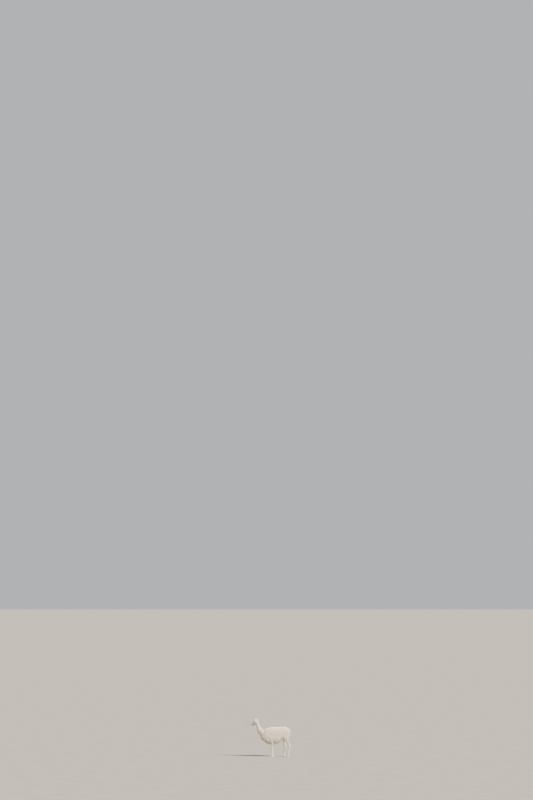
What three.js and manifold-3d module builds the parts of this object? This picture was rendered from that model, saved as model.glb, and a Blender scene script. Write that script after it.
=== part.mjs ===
// A white llama standing still, life size. Millimetres, +Z up, the animal faces -Y and its left side is +X.
// Its lengths are read to the tips of the coat. Y runs from a line through the middle of the back.
import * as THREE from 'three';
import { mergeVertices } from 'three/addons/utils/BufferGeometryUtils.js';
import Module from 'manifold-3d';

const wasm = await Module();
wasm.setup();
const { Manifold, Mesh: SolidMesh } = wasm;

// Driving dimensions
const gap = 0.3; // between neighbouring pieces
const backTop = 1100; // floor to the middle of the back
const bellyBottom = 464; // floor to the belly
const barrelHalf = 208; // half the width of the barrel
const frontLegY = -118;
const frontFootX = 96;
const hindLegY = 522;
const hindFootX = 104;
const frontStagger = 22; // the right front foot stands this far behind the left one
const hindStagger = -152; // the right hind foot stands this far ahead of the left one
const hindLean = 36; // how far each hind foot stands ahead of its hock
const fleeceLift = 20; // how far the clumps of fleece stand out of the coat between them, on the trunk
const neckLift = 13; // the same on the neck and thighs
const headAt = new THREE.Vector3(-4, -692, 1264); // where the skull sits on the neck
const headTurn = -40; // degrees, towards the animal's right
const headDip = 9; // degrees, nose down
const headLength = 300;
const earLength = 138;
const eyeRadius = 19.5;
const toeLength = 104;
const nailLength = 31;
const kneeHeight = 332;
const hockHeight = 418;
const fetlockHeight = 92;

// Cuts that part the body
const footCut = 74;
const kneeCut = 318;
const hockCut = 455;
const frontLegCut = 478;
const flankCut = { y: 214, z: 580 };
const rumpCut = { y: 640, z: 793 };

const colours = {
  fleece: 0xf6ecdf,
  shortCoat: 0xe6d9c8,
  ear: 0xefe3d5,
  horn: 0x4a3f38,
  eye: 0x1c1410,
};

const degrees = Math.PI / 180;

// A repeatable source of small differences
function seeded(seed) {
  let state = seed;
  return () => {
    state = (state * 16807) % 2147483647;
    return state / 2147483647;
  };
}

// Solids
function toSolid(geometry) {
  const bare = geometry.clone();
  bare.deleteAttribute('normal');
  bare.deleteAttribute('uv');
  const merged = mergeVertices(bare, 1e-3);
  return new Manifold(new SolidMesh({
    numProp: 3,
    vertProperties: new Float32Array(merged.attributes.position.array),
    triVerts: new Uint32Array(merged.index.array),
  }));
}

function toGeometry(solid) {
  const mesh = solid.getMesh();
  const geometry = new THREE.BufferGeometry();
  geometry.setAttribute('position', new THREE.BufferAttribute(new Float32Array(mesh.vertProperties), 3));
  geometry.setIndex(new THREE.BufferAttribute(new Uint32Array(mesh.triVerts), 1));
  geometry.computeVertexNormals();
  return geometry;
}

const joined = (solids) => Manifold.union(solids);

// The largest body of a solid: what a cut leaves loose is dropped
function largest(solid) {
  const bodies = solid.decompose();
  return bodies.reduce((best, body) => (body.volume() > best.volume() ? body : best));
}

// The two sides of a thin flat cut: what lies ahead of it along the normal, and what lies behind
function parted(solid, normal, through) {
  const n = normal.clone().normalize();
  const offset = n.dot(through);
  const ahead = solid.trimByPlane(n.toArray(), offset + gap / 2);
  const behind = solid.trimByPlane(n.clone().negate().toArray(), gap / 2 - offset);
  return [ahead, behind];
}

// A piece of the left side and its mirror image
const mirror = new THREE.Matrix4().makeScale(-1, 1, 1);
const bothSides = (solid) => [solid, solid.transform(mirror.elements)];

// A block across the animal whose outline is given in Y and Z, from x0 to x1
function block(outline, x0, x1) {
  const shape = new THREE.Shape(outline.map(([y, z]) => new THREE.Vector2(y, z)));
  const geometry = new THREE.ExtrudeGeometry(shape, { depth: x1 - x0, bevelEnabled: false });
  const turn = new THREE.Matrix4().makeBasis(
    new THREE.Vector3(0, 1, 0), new THREE.Vector3(0, 0, 1), new THREE.Vector3(1, 0, 0));
  return toSolid(geometry.applyMatrix4(turn).translate(x0, 0, 0));
}

function ball(radius, around = 16, rows = 10) {
  return new THREE.SphereGeometry(radius, around, rows);
}

// An egg of three half sizes, turned and set in its place
function egg(size, place, turn = new THREE.Euler(), around = 10, rows = 7) {
  const matrix = new THREE.Matrix4().compose(
    place, new THREE.Quaternion().setFromEuler(turn), size);
  return toSolid(ball(1, around, rows).applyMatrix4(matrix));
}

// A limb is a smooth run of oval sections. Each station is [x, y, z, half width, front, back]: front and
// back are the half depths on the two sides of the centre line. Front is up along a run that goes to +Y,
// and towards -Y along a run that goes up. Its sections are square to the run, or to the heading if any.
function limb(stations, squareness = 1, heading = null) {
  const centres = stations.map(([x, y, z]) => new THREE.Vector3(x, y, z));
  const girths = stations.map(([, , , half, front, back]) => new THREE.Vector3(half, front, back));
  return {
    path: new THREE.CatmullRomCurve3(centres, false, 'catmullrom', 0.5),
    girth: new THREE.CatmullRomCurve3(girths, false, 'catmullrom', 0.5),
    squareness,
    heading,
  };
}

function pointOn(form, t, angle, grow = 0) {
  const along = form.heading ?? form.path.getTangent(t);
  const side = new THREE.Vector3(1, 0, 0).addScaledVector(along, -along.x).normalize();
  const front = side.clone().cross(along);
  const girth = form.girth.getPoint(t);
  const rounded = (value) => Math.sign(value) * Math.abs(value) ** form.squareness;
  const across = (girth.x + grow) * rounded(Math.cos(angle));
  const depth = (Math.sin(angle) > 0 ? girth.y : girth.z) + grow;
  return form.path.getPoint(t)
    .addScaledVector(side, across)
    .addScaledVector(front, depth * rounded(Math.sin(angle)));
}

function limbGeometry(form, rings, sides, growAt) {
  const points = [];
  for (let ring = 0; ring <= rings; ring++) {
    for (let step = 0; step < sides; step++) {
      points.push(pointOn(form, ring / rings, (step / sides) * 2 * Math.PI, growAt(ring / rings)));
    }
  }
  const start = form.path.getPoint(0).addScaledVector(form.path.getTangent(0), -Math.max(0, growAt(0)));
  const end = form.path.getPoint(1).addScaledVector(form.path.getTangent(1), Math.max(0, growAt(1)));
  const startPole = points.length;
  points.push(start, end);
  const faces = [];
  for (let step = 0; step < sides; step++) {
    const next = (step + 1) % sides;
    faces.push(startPole, step, next);
    faces.push(startPole + 1, rings * sides + next, rings * sides + step);
    for (let ring = 0; ring < rings; ring++) {
      const low = ring * sides;
      const high = low + sides;
      faces.push(low + step, high + next, low + next, low + step, high + step, high + next);
    }
  }
  const geometry = new THREE.BufferGeometry().setFromPoints(points);
  geometry.setIndex(faces);
  return geometry;
}

// A limb as a solid, grown outwards by a few millimetres: the same all along, or as a function of the run
function limbSolid(form, rings, sides, grow = 0) {
  const growAt = typeof grow === 'function' ? grow : () => grow;
  return toSolid(limbGeometry(form, rings, sides, growAt));
}

const downAndBack = new THREE.Vector3(0, 0.45, -1);

// Fleece as rounded clumps set close over a stretch of a form, in staggered rows. Each lies down and back,
// is a little different from the next, and is sunk so that it stands out of the core by its lift.
function clumpsOver(form, { from, to, rows, spacing, angles, size, lift, seed }) {
  const chance = seeded(seed);
  const vary = (amount) => 1 + (chance() * 2 - 1) * amount;
  const clumps = [];
  for (let row = 0; row < rows; row++) {
    const t = form.path.getUtoTmapping(THREE.MathUtils.lerp(from, to, row / (rows - 1)));
    const girth = form.girth.getPoint(t);
    const around = Math.PI * (girth.x + (girth.y + girth.z) / 2) * ((angles[1] - angles[0]) / (2 * Math.PI));
    const count = Math.max(1, Math.round(around / spacing));
    for (let i = 0; i < count; i++) {
      const share = (i + (row % 2 ? 0.25 : 0.75) + (chance() - 0.5) * 0.3) / count;
      const angle = THREE.MathUtils.lerp(angles[0], angles[1], share);
      const place = pointOn(form, t + (chance() - 0.5) * 0.012, angle, -lift);
      const ahead = pointOn(form, t + 0.01, angle, -lift).sub(pointOn(form, t - 0.01, angle, -lift));
      const turning = pointOn(form, t, angle + 0.05, -lift).sub(pointOn(form, t, angle - 0.05, -lift));
      const out = ahead.cross(turning).normalize();
      const swing = new THREE.Quaternion().setFromAxisAngle(out, (chance() - 0.5) * 0.9);
      const lie = downAndBack.clone().addScaledVector(out, -out.dot(downAndBack)).normalize()
        .applyQuaternion(swing);
      const across = lie.clone().cross(out);
      const height = size.z * vary(0.12);
      const matrix = new THREE.Matrix4().makeBasis(lie, out, across)
        .scale(new THREE.Vector3(size.x * vary(0.16), height, size.y * vary(0.16)))
        .setPosition(place.addScaledVector(out, lift * vary(0.15) - height));
      clumps.push(toSolid(ball(1, 6, 4).applyMatrix4(matrix)));
    }
  }
  return clumps;
}

// Trunk: stations along the back, each from its top, widest level, bottom and half width
function trunkForm() {
  const station = (y, top, middle, bottom, half) => [0, y, middle, half, top - middle, middle - bottom];
  return limb([
    station(-540, backTop - 330, 742, 694, 40),
    station(-508, backTop - 240, 754, 644, barrelHalf * 0.46),
    station(-436, backTop - 138, 768, 580, barrelHalf * 0.67),
    station(-360, backTop - 72, 778, 524, barrelHalf * 0.81),
    station(-240, backTop - 28, 782, bellyBottom, barrelHalf * 0.92),
    station(-90, backTop - 5, 786, bellyBottom - 4, barrelHalf),
    station(60, backTop, 796, bellyBottom + 16, barrelHalf * 1.02),
    station(170, backTop + 8, 816, 548, barrelHalf),
    station(262, backTop + 12, 846, 640, barrelHalf * 0.96),
    station(360, backTop + 6, 880, 706, barrelHalf * 0.9),
    station(445, backTop - 24, 900, 745, barrelHalf * 0.76),
    station(500, backTop - 76, 908, 800, barrelHalf * 0.54),
    station(522, backTop - 130, 912, 860, barrelHalf * 0.26),
  ], 0.88, new THREE.Vector3(0, 1, 0));
}

// Neck: from inside the chest up to the back of the skull, leaning forward
function neckForm() {
  return limb([
    [0, -372, 800, 142, 150, 124],
    [0, -450, 880, 130, 158, 112],
    [0, -522, 952, 108, 138, 92],
    [0, -576, 1022, 92, 110, 78],
    [0, -616, 1092, 80, 86, 71],
    [0, -646, 1162, 73, 72, 64],
    [-2, -670, 1222, 68, 62, 59],
    [-4, -694, 1274, 56, 44, 48],
  ]);
}

// How far the offset of a staggered leg reaches up it: all of it below the joint, none at the hip
function staggerAt(z, low, high) {
  return 1 - THREE.MathUtils.smoothstep(z, low, high);
}

function frontLegForm(side) {
  const shift = (z) => (side > 0 ? 0 : frontStagger * staggerAt(z, 480, 800));
  const station = (x, y, z, half, front, back) => [side * x, frontLegY + y + shift(z), z, half, front, back];
  return limb([
    station(frontFootX, 2, 26, 27, 25, 26),
    station(frontFootX, 3, fetlockHeight - 30, 28, 28, 31),
    station(frontFootX, 2, fetlockHeight, 29, 29, 32),
    station(frontFootX, 0, fetlockHeight + 60, 24, 26, 27),
    station(frontFootX, 0, kneeHeight - 80, 24, 26, 26),
    station(frontFootX, -1, kneeHeight - 34, 30, 32, 28),
    station(frontFootX, -2, kneeHeight + 6, 32, 36, 30),
    station(frontFootX + 1, 0, kneeHeight + 56, 31, 33, 33),
    station(frontFootX + 4, 2, 460, 37, 40, 44),
    station(frontFootX + 12, -4, 530, 48, 54, 62),
    station(frontFootX + 24, -20, 610, 62, 78, 86),
    station(frontFootX + 34, -48, 700, 68, 96, 98),
    station(frontFootX + 36, -82, 800, 66, 104, 96),
    station(frontFootX + 22, -112, 890, 54, 84, 76),
    station(frontFootX + 6, -126, 950, 26, 40, 36),
  ], 0.95);
}

function hindLegForm(side) {
  const lean = (z) => hindLean * Math.max(0, 1 - z / hockHeight);
  const shift = (z) => (side > 0 ? 0 : hindStagger * staggerAt(z, 430, 900)) - lean(z);
  const station = (x, y, z, half, front, back) => [side * x, hindLegY + y + shift(z), z, half, front, back];
  return limb([
    station(hindFootX, 6, 26, 27, 25, 26),
    station(hindFootX, 6, fetlockHeight - 30, 28, 28, 31),
    station(hindFootX, 2, fetlockHeight, 29, 29, 33),
    station(hindFootX - 1, -5, fetlockHeight + 70, 24, 27, 28),
    station(hindFootX - 2, -2, hockHeight - 150, 24, 28, 28),
    station(hindFootX - 4, 8, hockHeight - 70, 28, 33, 35),
    station(hindFootX - 6, 12, hockHeight - 4, 33, 43, 48),
    station(hindFootX - 6, -6, hockHeight + 48, 36, 47, 50),
    station(hindFootX - 5, -34, hockHeight + 112, 42, 52, 48),
    station(hindFootX - 3, -60, 596, 52, 58, 52),
    station(hindFootX, -84, 652, 64, 96, 82),
    station(hindFootX + 3, -114, 712, 74, 140, 124),
    station(hindFootX + 4, -132, 780, 80, 150, 144),
    station(hindFootX, -136, 860, 82, 146, 146),
    station(hindFootX - 8, -130, 940, 76, 122, 124),
    station(hindFootX - 24, -124, 1020, 44, 60, 64),
  ], 0.95);
}

// Tail: short and close to the rump
function tailForm() {
  return limb([
    [0, 455, 1006, 20, 20, 20],
    [0, 508, 1008, 33, 30, 26],
    [0, 535, 984, 38, 30, 28],
    [0, 546, 936, 40, 30, 28],
    [0, 550, 882, 37, 28, 26],
    [0, 551, 842, 25, 18, 17],
    [0, 550, 820, 6, 5, 6],
  ]);
}

// A toe with its flat sole and the nail on its front
function toeForm(x, y, splay) {
  const station = (along, half, z, up, down) =>
    [x + splay * (0.4 - along) * 16, y + 40 - along * toeLength, z, half, up, down];
  return limb([
    station(1, 7, 13, 7, 14),
    station(0.9, 15, 15, 13, 18),
    station(0.7, 19.5, 18, 20, 22),
    station(0.45, 20.5, 22, 27, 26),
    station(0.2, 20, 22, 26, 26),
    station(0, 11, 20, 13, 21),
  ], 0.86);
}

function nailForm(x, y, splay) {
  const station = (along, half, z, up, down) => {
    const reach = 40 - toeLength * 0.8 - along * nailLength;
    return [x + splay * (0.4 - 0.8 - along * 0.33) * 16, y + reach, z, half, up, down];
  };
  return limb([
    station(1, 2.6, 7.5, 2.6, 2),
    station(0.75, 6.6, 11.5, 5.4, 5),
    station(0.4, 9, 16.5, 7.8, 7),
    station(0, 9, 21, 7.4, 6),
  ]);
}

// Head, modelled facing -Y with the joint of the neck at its origin, then turned and set on the neck
function headForm() {
  const station = (along, middle, up, down, half) => [0, 24 - along * headLength, middle, half, up, down];
  return limb([
    station(1.03, -48, 12, 14, 15),
    station(1.0, -46, 30, 30, 28),
    station(0.94, -42, 39, 40, 35),
    station(0.85, -36, 45, 48, 38),
    station(0.74, -29, 49, 54, 40),
    station(0.62, -20, 51, 62, 44),
    station(0.5, -9, 55, 74, 51),
    station(0.39, 1, 58, 83, 58),
    station(0.27, 8, 60, 88, 62),
    station(0.15, 9, 59, 87, 61),
    station(0.03, 4, 52, 76, 56),
    station(-0.07, 0, 41, 60, 47),
    station(-0.14, -6, 16, 26, 20),
  ], 0.9);
}

// The chin and the lower lip, set under the muzzle
function chinForm() {
  const station = (along, middle, up, down, half) => [0, 24 - along * headLength, middle, half, up, down];
  return limb([
    station(0.975, -76, 6, 6, 9),
    station(0.95, -76, 11, 12, 20),
    station(0.88, -76, 12, 13, 26),
    station(0.79, -72, 10, 12, 22),
  ], 0.9);
}

const eyePlace = new THREE.Vector3(41, -84, 17);
const eyeOut = new THREE.Vector3(0.93, -0.32, 0.1).normalize();

// The open almond between the lids of the left eye, pushed outwards through them
function lidOpening() {
  const half = 18;
  const shape = new THREE.Shape();
  shape.moveTo(-half, -2);
  shape.quadraticCurveTo(2, -20, half, 2);
  shape.quadraticCurveTo(-3, 23, -half, -2);
  const geometry = new THREE.ExtrudeGeometry(shape, { depth: 30, bevelEnabled: false, curveSegments: 6 });
  const across = new THREE.Vector3(0, 0, 1).cross(eyeOut).normalize();
  const up = eyeOut.clone().cross(across);
  geometry.applyMatrix4(new THREE.Matrix4().makeBasis(across, up, eyeOut));
  return toSolid(geometry.translate(...eyePlace.clone().addScaledVector(eyeOut, 8).toArray()));
}

// The mouth is a thin slit that rises to its corners
function mouthSlit() {
  const half = 1.1;
  const front = -292;
  const corner = -196;
  const line = [[front, -66], [-268, -63], [-240, -61], [-215, -58], [corner, -52]];
  const outline = [
    ...line.map(([y, z]) => [y, z - half]),
    ...line.slice().reverse().map(([y, z]) => [y, z + half]),
  ];
  return block(outline, -60, 60);
}

function headSolid() {
  const skull = limbSolid(headForm(), 20, 16);
  const chin = limbSolid(chinForm(), 6, 10);
  const v = (x, y, z) => new THREE.Vector3(x, y, z);
  const turned = (x, y, z) => new THREE.Euler(x, y, z);
  const lids = egg(v(22.5, 24, 22), eyePlace, turned(0, 0, 0), 12, 8);
  const upperLip = egg(v(16, 25, 21), v(14, -262, -46), turned(0.2, 0, -0.25));
  const nostril = egg(v(5, 16, 7), v(26, -266, -26), turned(-0.75, 0, 0.6), 8, 6);
  const lipCleft = block([[-310, -67], [-283, -67], [-283, -36], [-310, -36]], -1.2, 1.2);
  return joined([skull, chin, ...bothSides(joined([lids, upperLip]))])
    .subtract(joined([mouthSlit(), lipCleft, ...bothSides(nostril)]));
}

// Left ear: a long cup that opens forwards and outwards, its tip bent inwards
function earCup() {
  const rings = 8;
  const around = 6;
  const wall = 3.2;
  const layers = { outer: [], inner: [] };
  for (let ring = 0; ring <= rings; ring++) {
    const t = ring / rings;
    const bend = 15 * Math.sin(t * 2.6) - 19 * t * t;
    const centre = new THREE.Vector3(41 + bend, -14 + 7 * Math.sin(t * 3), 38 + t * earLength);
    const radius = 25 * Math.sin(Math.PI * (0.2 + 0.78 * t)) ** 0.8;
    const spread = (118 - 38 * t) * degrees;
    for (let step = 0; step <= around; step++) {
      const angle = (step / around - 0.5) * 2 * spread;
      const outward = new THREE.Vector3(Math.sin(angle - 0.5), Math.cos(angle - 0.5), 0);
      layers.outer.push(centre.clone().addScaledVector(outward, radius));
      layers.inner.push(centre.clone().addScaledVector(outward, radius - Math.min(wall, radius * 0.5)));
    }
  }
  const points = [...layers.outer, ...layers.inner];
  const row = around + 1;
  const inner = layers.outer.length;
  const faces = [];
  const quad = (a, b, c, d) => faces.push(a, b, c, a, c, d);
  for (let ring = 0; ring < rings; ring++) {
    for (let step = 0; step < around; step++) {
      const a = ring * row + step;
      quad(a + 1, a, a + row, a + row + 1);
      quad(inner + a, inner + a + 1, inner + a + row + 1, inner + a + row);
    }
    const first = ring * row;
    const last = first + around;
    quad(first, inner + first, inner + first + row, first + row);
    quad(inner + last, last, last + row, inner + last + row);
  }
  for (let step = 0; step < around; step++) {
    const top = rings * row + step;
    quad(step, step + 1, inner + step + 1, inner + step);
    quad(top + 1, top, inner + top, inner + top + 1);
  }
  const geometry = new THREE.BufferGeometry().setFromPoints(points);
  geometry.setIndex(faces);
  return geometry;
}

// The root that fills the bottom of the ear's cup
function earRoot(grow = 0) {
  const size = new THREE.Vector3(15 + grow, 15 + grow, 27 + grow);
  return egg(size, new THREE.Vector3(42, -13, 42), new THREE.Euler(0, 0.2, 0), 8, 6);
}

const headMatrix = new THREE.Matrix4().compose(
  headAt,
  new THREE.Quaternion().setFromEuler(new THREE.Euler(headDip * degrees, 0, headTurn * degrees, 'ZYX')),
  new THREE.Vector3(1, 1, 1),
);
const onNeck = (solid) => solid.transform(headMatrix.elements);

// The whole body, then its parts
function nails(legX, legY) {
  return [1, -1].map((toe) => nailForm(legX + toe * 20.5, legY, toe));
}

function footSolid(legX, legY) {
  const toes = [1, -1].map((toe) => limbSolid(toeForm(legX + toe * 20.5, legY, toe), 5, 6));
  return joined(toes);
}

const legs = [];
for (const [name, side, front] of [
  ['front_left', 1, true], ['front_right', -1, true], ['hind_left', 1, false], ['hind_right', -1, false],
]) {
  const form = front ? frontLegForm(side) : hindLegForm(side);
  const footY = front
    ? frontLegY + (side > 0 ? 0 : frontStagger)
    : hindLegY - hindLean + (side > 0 ? 0 : hindStagger);
  legs.push({ name, side, front, form, footX: side * (front ? frontFootX : hindFootX), footY });
}

const trunk = trunkForm();
const neck = neckForm();
const fleece = [
  ...clumpsOver(trunk, {
    from: 0.11, to: 0.93, rows: 8, spacing: 130, angles: [-38 * degrees, 218 * degrees],
    size: new THREE.Vector3(76, 72, 29), lift: fleeceLift, seed: 11,
  }),
  ...clumpsOver(neck, {
    from: 0.42, to: 0.87, rows: 4, spacing: 98, angles: [0, 360 * degrees],
    size: new THREE.Vector3(54, 50, 19), lift: neckLift, seed: 23,
  }),
  ...legs.filter((leg) => !leg.front).flatMap((leg) => clumpsOver(leg.form, {
    from: 0.62, to: 0.84, rows: 3, spacing: 104,
    angles: leg.side > 0 ? [-80 * degrees, 75 * degrees] : [105 * degrees, 260 * degrees],
    size: new THREE.Vector3(64, 54, 20), lift: neckLift, seed: leg.side > 0 ? 37 : 41,
  })),
];
const thighInset = (t) => -neckLift * THREE.MathUtils.smoothstep(t, 0.5, 0.64);
const flesh = joined([
  limbSolid(trunk, 16, 18, -fleeceLift),
  limbSolid(neck, 10, 14, -neckLift),
  onNeck(headSolid()),
  ...legs.map((leg) => limbSolid(leg.form, 19, 10, leg.front ? 0 : thighInset)),
  ...legs.map((leg) => footSolid(leg.footX, leg.footY)),
  ...fleece,
]);
const standing = flesh.trimByPlane([0, 0, 1], 0);

const parts = [];
const keep = (name, solid, colour, roughness = 0.9) => parts.push({ name, solid, colour, roughness });

const headCut = { normal: new THREE.Vector3(-0.16, -0.76, 0.63), through: new THREE.Vector3(0, -704, 1188) };
const neckCut = { normal: new THREE.Vector3(0, -0.64, 0.77), through: new THREE.Vector3(0, -452, 1000) };
const [headPiece, headless] = parted(standing, headCut.normal, headCut.through);
const [neckPiece, trunkAndLegs] = parted(headless, neckCut.normal, neckCut.through);

const ears = bothSides(joined([toSolid(earCup()), earRoot()]));
const earSockets = bothSides(joined([toSolid(earCup()), earRoot(gap)]));
const eyeball = (grow) => toSolid(ball(eyeRadius + grow, 10, 8).translate(...eyePlace.toArray()));
const eyes = bothSides(eyeball(0));
const eyeSockets = bothSides(joined([eyeball(gap), lidOpening()]));
const head = headPiece.subtract(onNeck(joined([...earSockets, ...eyeSockets])));
['left', 'right'].forEach((label, i) => {
  keep(`ear_${label}`, onNeck(ears[i]), colours.ear);
  keep(`eye_${label}`, onNeck(eyes[i]), colours.eye, 0.1);
});
keep('head', head, colours.shortCoat);
keep('neck', neckPiece, colours.fleece);

// Legs are cut out of the body below the trunk, then across at the knee or hock and above the foot
const floorUnder = -20;
const legOutline = (grow) => ({
  front: [
    [frontLegY - 140 - grow, floorUnder], [frontLegY + 150 + grow, floorUnder],
    [frontLegY + 150 + grow, frontLegCut + grow], [frontLegY - 140 - grow, frontLegCut + grow],
  ],
  hind: [
    [flankCut.y - grow, floorUnder], [rumpCut.y, floorUnder],
    [rumpCut.y, rumpCut.z + grow], [flankCut.y - grow, flankCut.z + grow],
  ],
});

let torso = trunkAndLegs;
for (const leg of legs) {
  const end = leg.front ? 'front' : 'hind';
  const span = leg.side > 0 ? [gap / 2, 400] : [-400, -gap / 2];
  const whole = largest(trunkAndLegs.intersect(block(legOutline(0)[end], ...span)));
  const joint = leg.front ? kneeCut : hockCut;
  const up = new THREE.Vector3(0, 0, 1);
  const [upper, rest] = parted(whole, up, new THREE.Vector3(0, 0, joint));
  const [lower, footPiece] = parted(rest, up, new THREE.Vector3(0, 0, footCut));
  let foot = footPiece;
  nails(leg.footX, leg.footY).forEach((form, i) => {
    const label = (i === 0) === (leg.side > 0) ? 'outer' : 'inner';
    foot = foot.subtract(limbSolid(form, 4, 6, gap));
    keep(`nail_${leg.name}_${label}`, limbSolid(form, 4, 6), colours.horn, 0.5);
  });
  keep(`leg_${leg.name}_upper`, upper, leg.front ? colours.shortCoat : colours.fleece);
  keep(`leg_${leg.name}_lower`, lower, colours.shortCoat);
  keep(`foot_${leg.name}`, foot, colours.shortCoat);
}
torso = torso.subtract(joined([
  block(legOutline(gap).front, -400, 400),
  block(legOutline(gap).hind, -400, 400),
]));

const tail = tailForm();
torso = torso.subtract(limbSolid(tail, 12, 12, gap));
keep('tail', limbSolid(tail, 12, 12), colours.fleece);
keep('torso', torso, colours.fleece);

// The animal stands on Z = 0 with its origin under the middle of its box
const llama = new THREE.Group();
for (const { name, solid, colour, roughness } of parts) {
  const material = new THREE.MeshStandardMaterial({ color: colour, roughness, metalness: 0 });
  const piece = new THREE.Mesh(toGeometry(largest(solid)), material);
  piece.name = name;
  llama.add(piece);
}
const bounds = new THREE.Box3().setFromObject(llama);
const middle = bounds.getCenter(new THREE.Vector3());
llama.position.set(-middle.x, -middle.y, 0);
llama.updateMatrixWorld(true);

export default llama;
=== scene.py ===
# A white llama standing still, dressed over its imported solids: one skin, a fleece of locks, short hair on
# the face and legs, eyes, lashes and nails. It faces -Y and its left side is +X. Blender works in metres,
# and the body's own lengths below are in millimetres, to the tips of the coat.
import math

import bmesh
import bpy
import numpy as np
from mathutils import Matrix, Vector, kdtree, noise as clouds
from mathutils.bvhtree import BVHTree


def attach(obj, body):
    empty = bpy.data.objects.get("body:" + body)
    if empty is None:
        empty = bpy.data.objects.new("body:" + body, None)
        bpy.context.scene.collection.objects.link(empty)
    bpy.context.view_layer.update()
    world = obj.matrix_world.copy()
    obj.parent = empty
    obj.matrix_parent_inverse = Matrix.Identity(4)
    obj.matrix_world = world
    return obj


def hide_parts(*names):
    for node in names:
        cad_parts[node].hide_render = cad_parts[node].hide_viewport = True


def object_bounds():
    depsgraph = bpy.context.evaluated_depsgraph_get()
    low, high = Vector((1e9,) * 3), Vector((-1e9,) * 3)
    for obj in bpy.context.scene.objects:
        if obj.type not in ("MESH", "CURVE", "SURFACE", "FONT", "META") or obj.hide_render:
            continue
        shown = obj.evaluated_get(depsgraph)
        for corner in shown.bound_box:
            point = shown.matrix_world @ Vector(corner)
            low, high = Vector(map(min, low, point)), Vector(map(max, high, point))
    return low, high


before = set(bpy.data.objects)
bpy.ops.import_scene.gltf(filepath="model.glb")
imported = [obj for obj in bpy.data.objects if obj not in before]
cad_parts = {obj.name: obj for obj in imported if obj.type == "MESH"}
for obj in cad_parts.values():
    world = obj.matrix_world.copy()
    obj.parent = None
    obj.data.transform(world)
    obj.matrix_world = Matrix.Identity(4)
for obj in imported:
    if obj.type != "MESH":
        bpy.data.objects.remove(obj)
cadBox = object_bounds()
print("frame loaded")

body = {
    "shift": (-1.58, 168.36, 0.0),  # from the axes these lengths are read in to the part's own
    "backTop": 1100,
    "bellyBottom": 464,
    "barrelHalf": 208,
    "frontLegY": -118,
    "frontFootX": 96,
    "hindLegY": 522,
    "hindFootX": 104,
    "frontStagger": 22,  # how far the right leg stands behind the left one
    "hindStagger": -152,
    "hindLean": 36,  # how far the hind feet stand ahead of their hocks
    "kneeHeight": 332,
    "hockHeight": 418,
    "fetlockHeight": 92,
    "headAt": (-4, -692, 1264),  # the joint of head and neck
    "headTurn": -40,  # degrees, to the animal's right
    "headDip": 9,  # degrees, nose down
    "headLength": 300,
    "headBack": 24,  # how far behind that joint the head's length starts
    "earLength": 138,
    "eyeRadius": 19.5,
}


# small sums
def unit(v):
    return v / np.maximum(np.linalg.norm(v, axis=-1, keepdims=True), 1e-9)


def smooth(value, low, high):
    # 0 up to low, 1 from high on, with a soft rise between
    x = np.clip((np.asarray(value, float) - low) / (high - low), 0, 1)
    return x * x * (3 - 2 * x)


def blend(a, b, share):
    return a + (b - a) * share


def ridge(distance, at, width, power=2):
    # 1 at one distance, falling to 0 on both sides of it
    return np.exp(-(((distance - at) / width) ** power))


def flattened(ways, normals):
    # directions laid down onto the surface
    return unit(ways - normals * (ways * normals).sum(1)[:, None])


def linear(hexColour):
    # sRGB hex to the linear colour that shaders take
    parts = [int(hexColour[i:i + 2], 16) / 255 for i in (1, 3, 5)]
    return [c / 12.92 if c <= 0.04045 else ((c + 0.055) / 1.055) ** 2.4 for c in parts] + [1.0]


# shells: closed meshes as (points in mm, faces)
def smoothRun(stations, t):
    # a smooth curve through evenly numbered stations
    last = len(stations) - 1
    at = np.clip(t, 0, 1) * last
    i = np.minimum(at.astype(int), last - 1)
    w = (at - i)[:, None]
    before = np.vstack([2 * stations[0] - stations[1], stations])
    after = np.vstack([stations, 2 * stations[-1] - stations[-2]])
    p0, p1, p2, p3 = before[i], stations[i], stations[i + 1], after[i + 2]
    m1, m2 = (p2 - p0) / 2, (p3 - p1) / 2
    return p1 + w * m1 + w**2 * (3 * (p2 - p1) - 2 * m1 - m2) + w**3 * (2 * (p1 - p2) + m1 + m2)


def tube(rows):
    # rows of points, each row a ring, closed at both ends on the middle of the ring
    rings, sides = rows.shape[:2]
    points = np.vstack([rows.reshape(-1, 3), rows[0].mean(0), rows[-1].mean(0)])
    step = np.arange(sides)
    onward = (step + 1) % sides
    faces = []
    for ring in range(rings - 1):
        low, high = ring * sides, (ring + 1) * sides
        faces += np.stack([low + step, high + step, high + onward, low + onward], 1).tolist()
    start, end, top = rings * sides, rings * sides + 1, (rings - 1) * sides
    faces += [[start, a, b] for a, b in zip(step.tolist(), onward.tolist())]
    faces += [[end, top + b, top + a] for a, b in zip(step.tolist(), onward.tolist())]
    return points, faces


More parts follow.
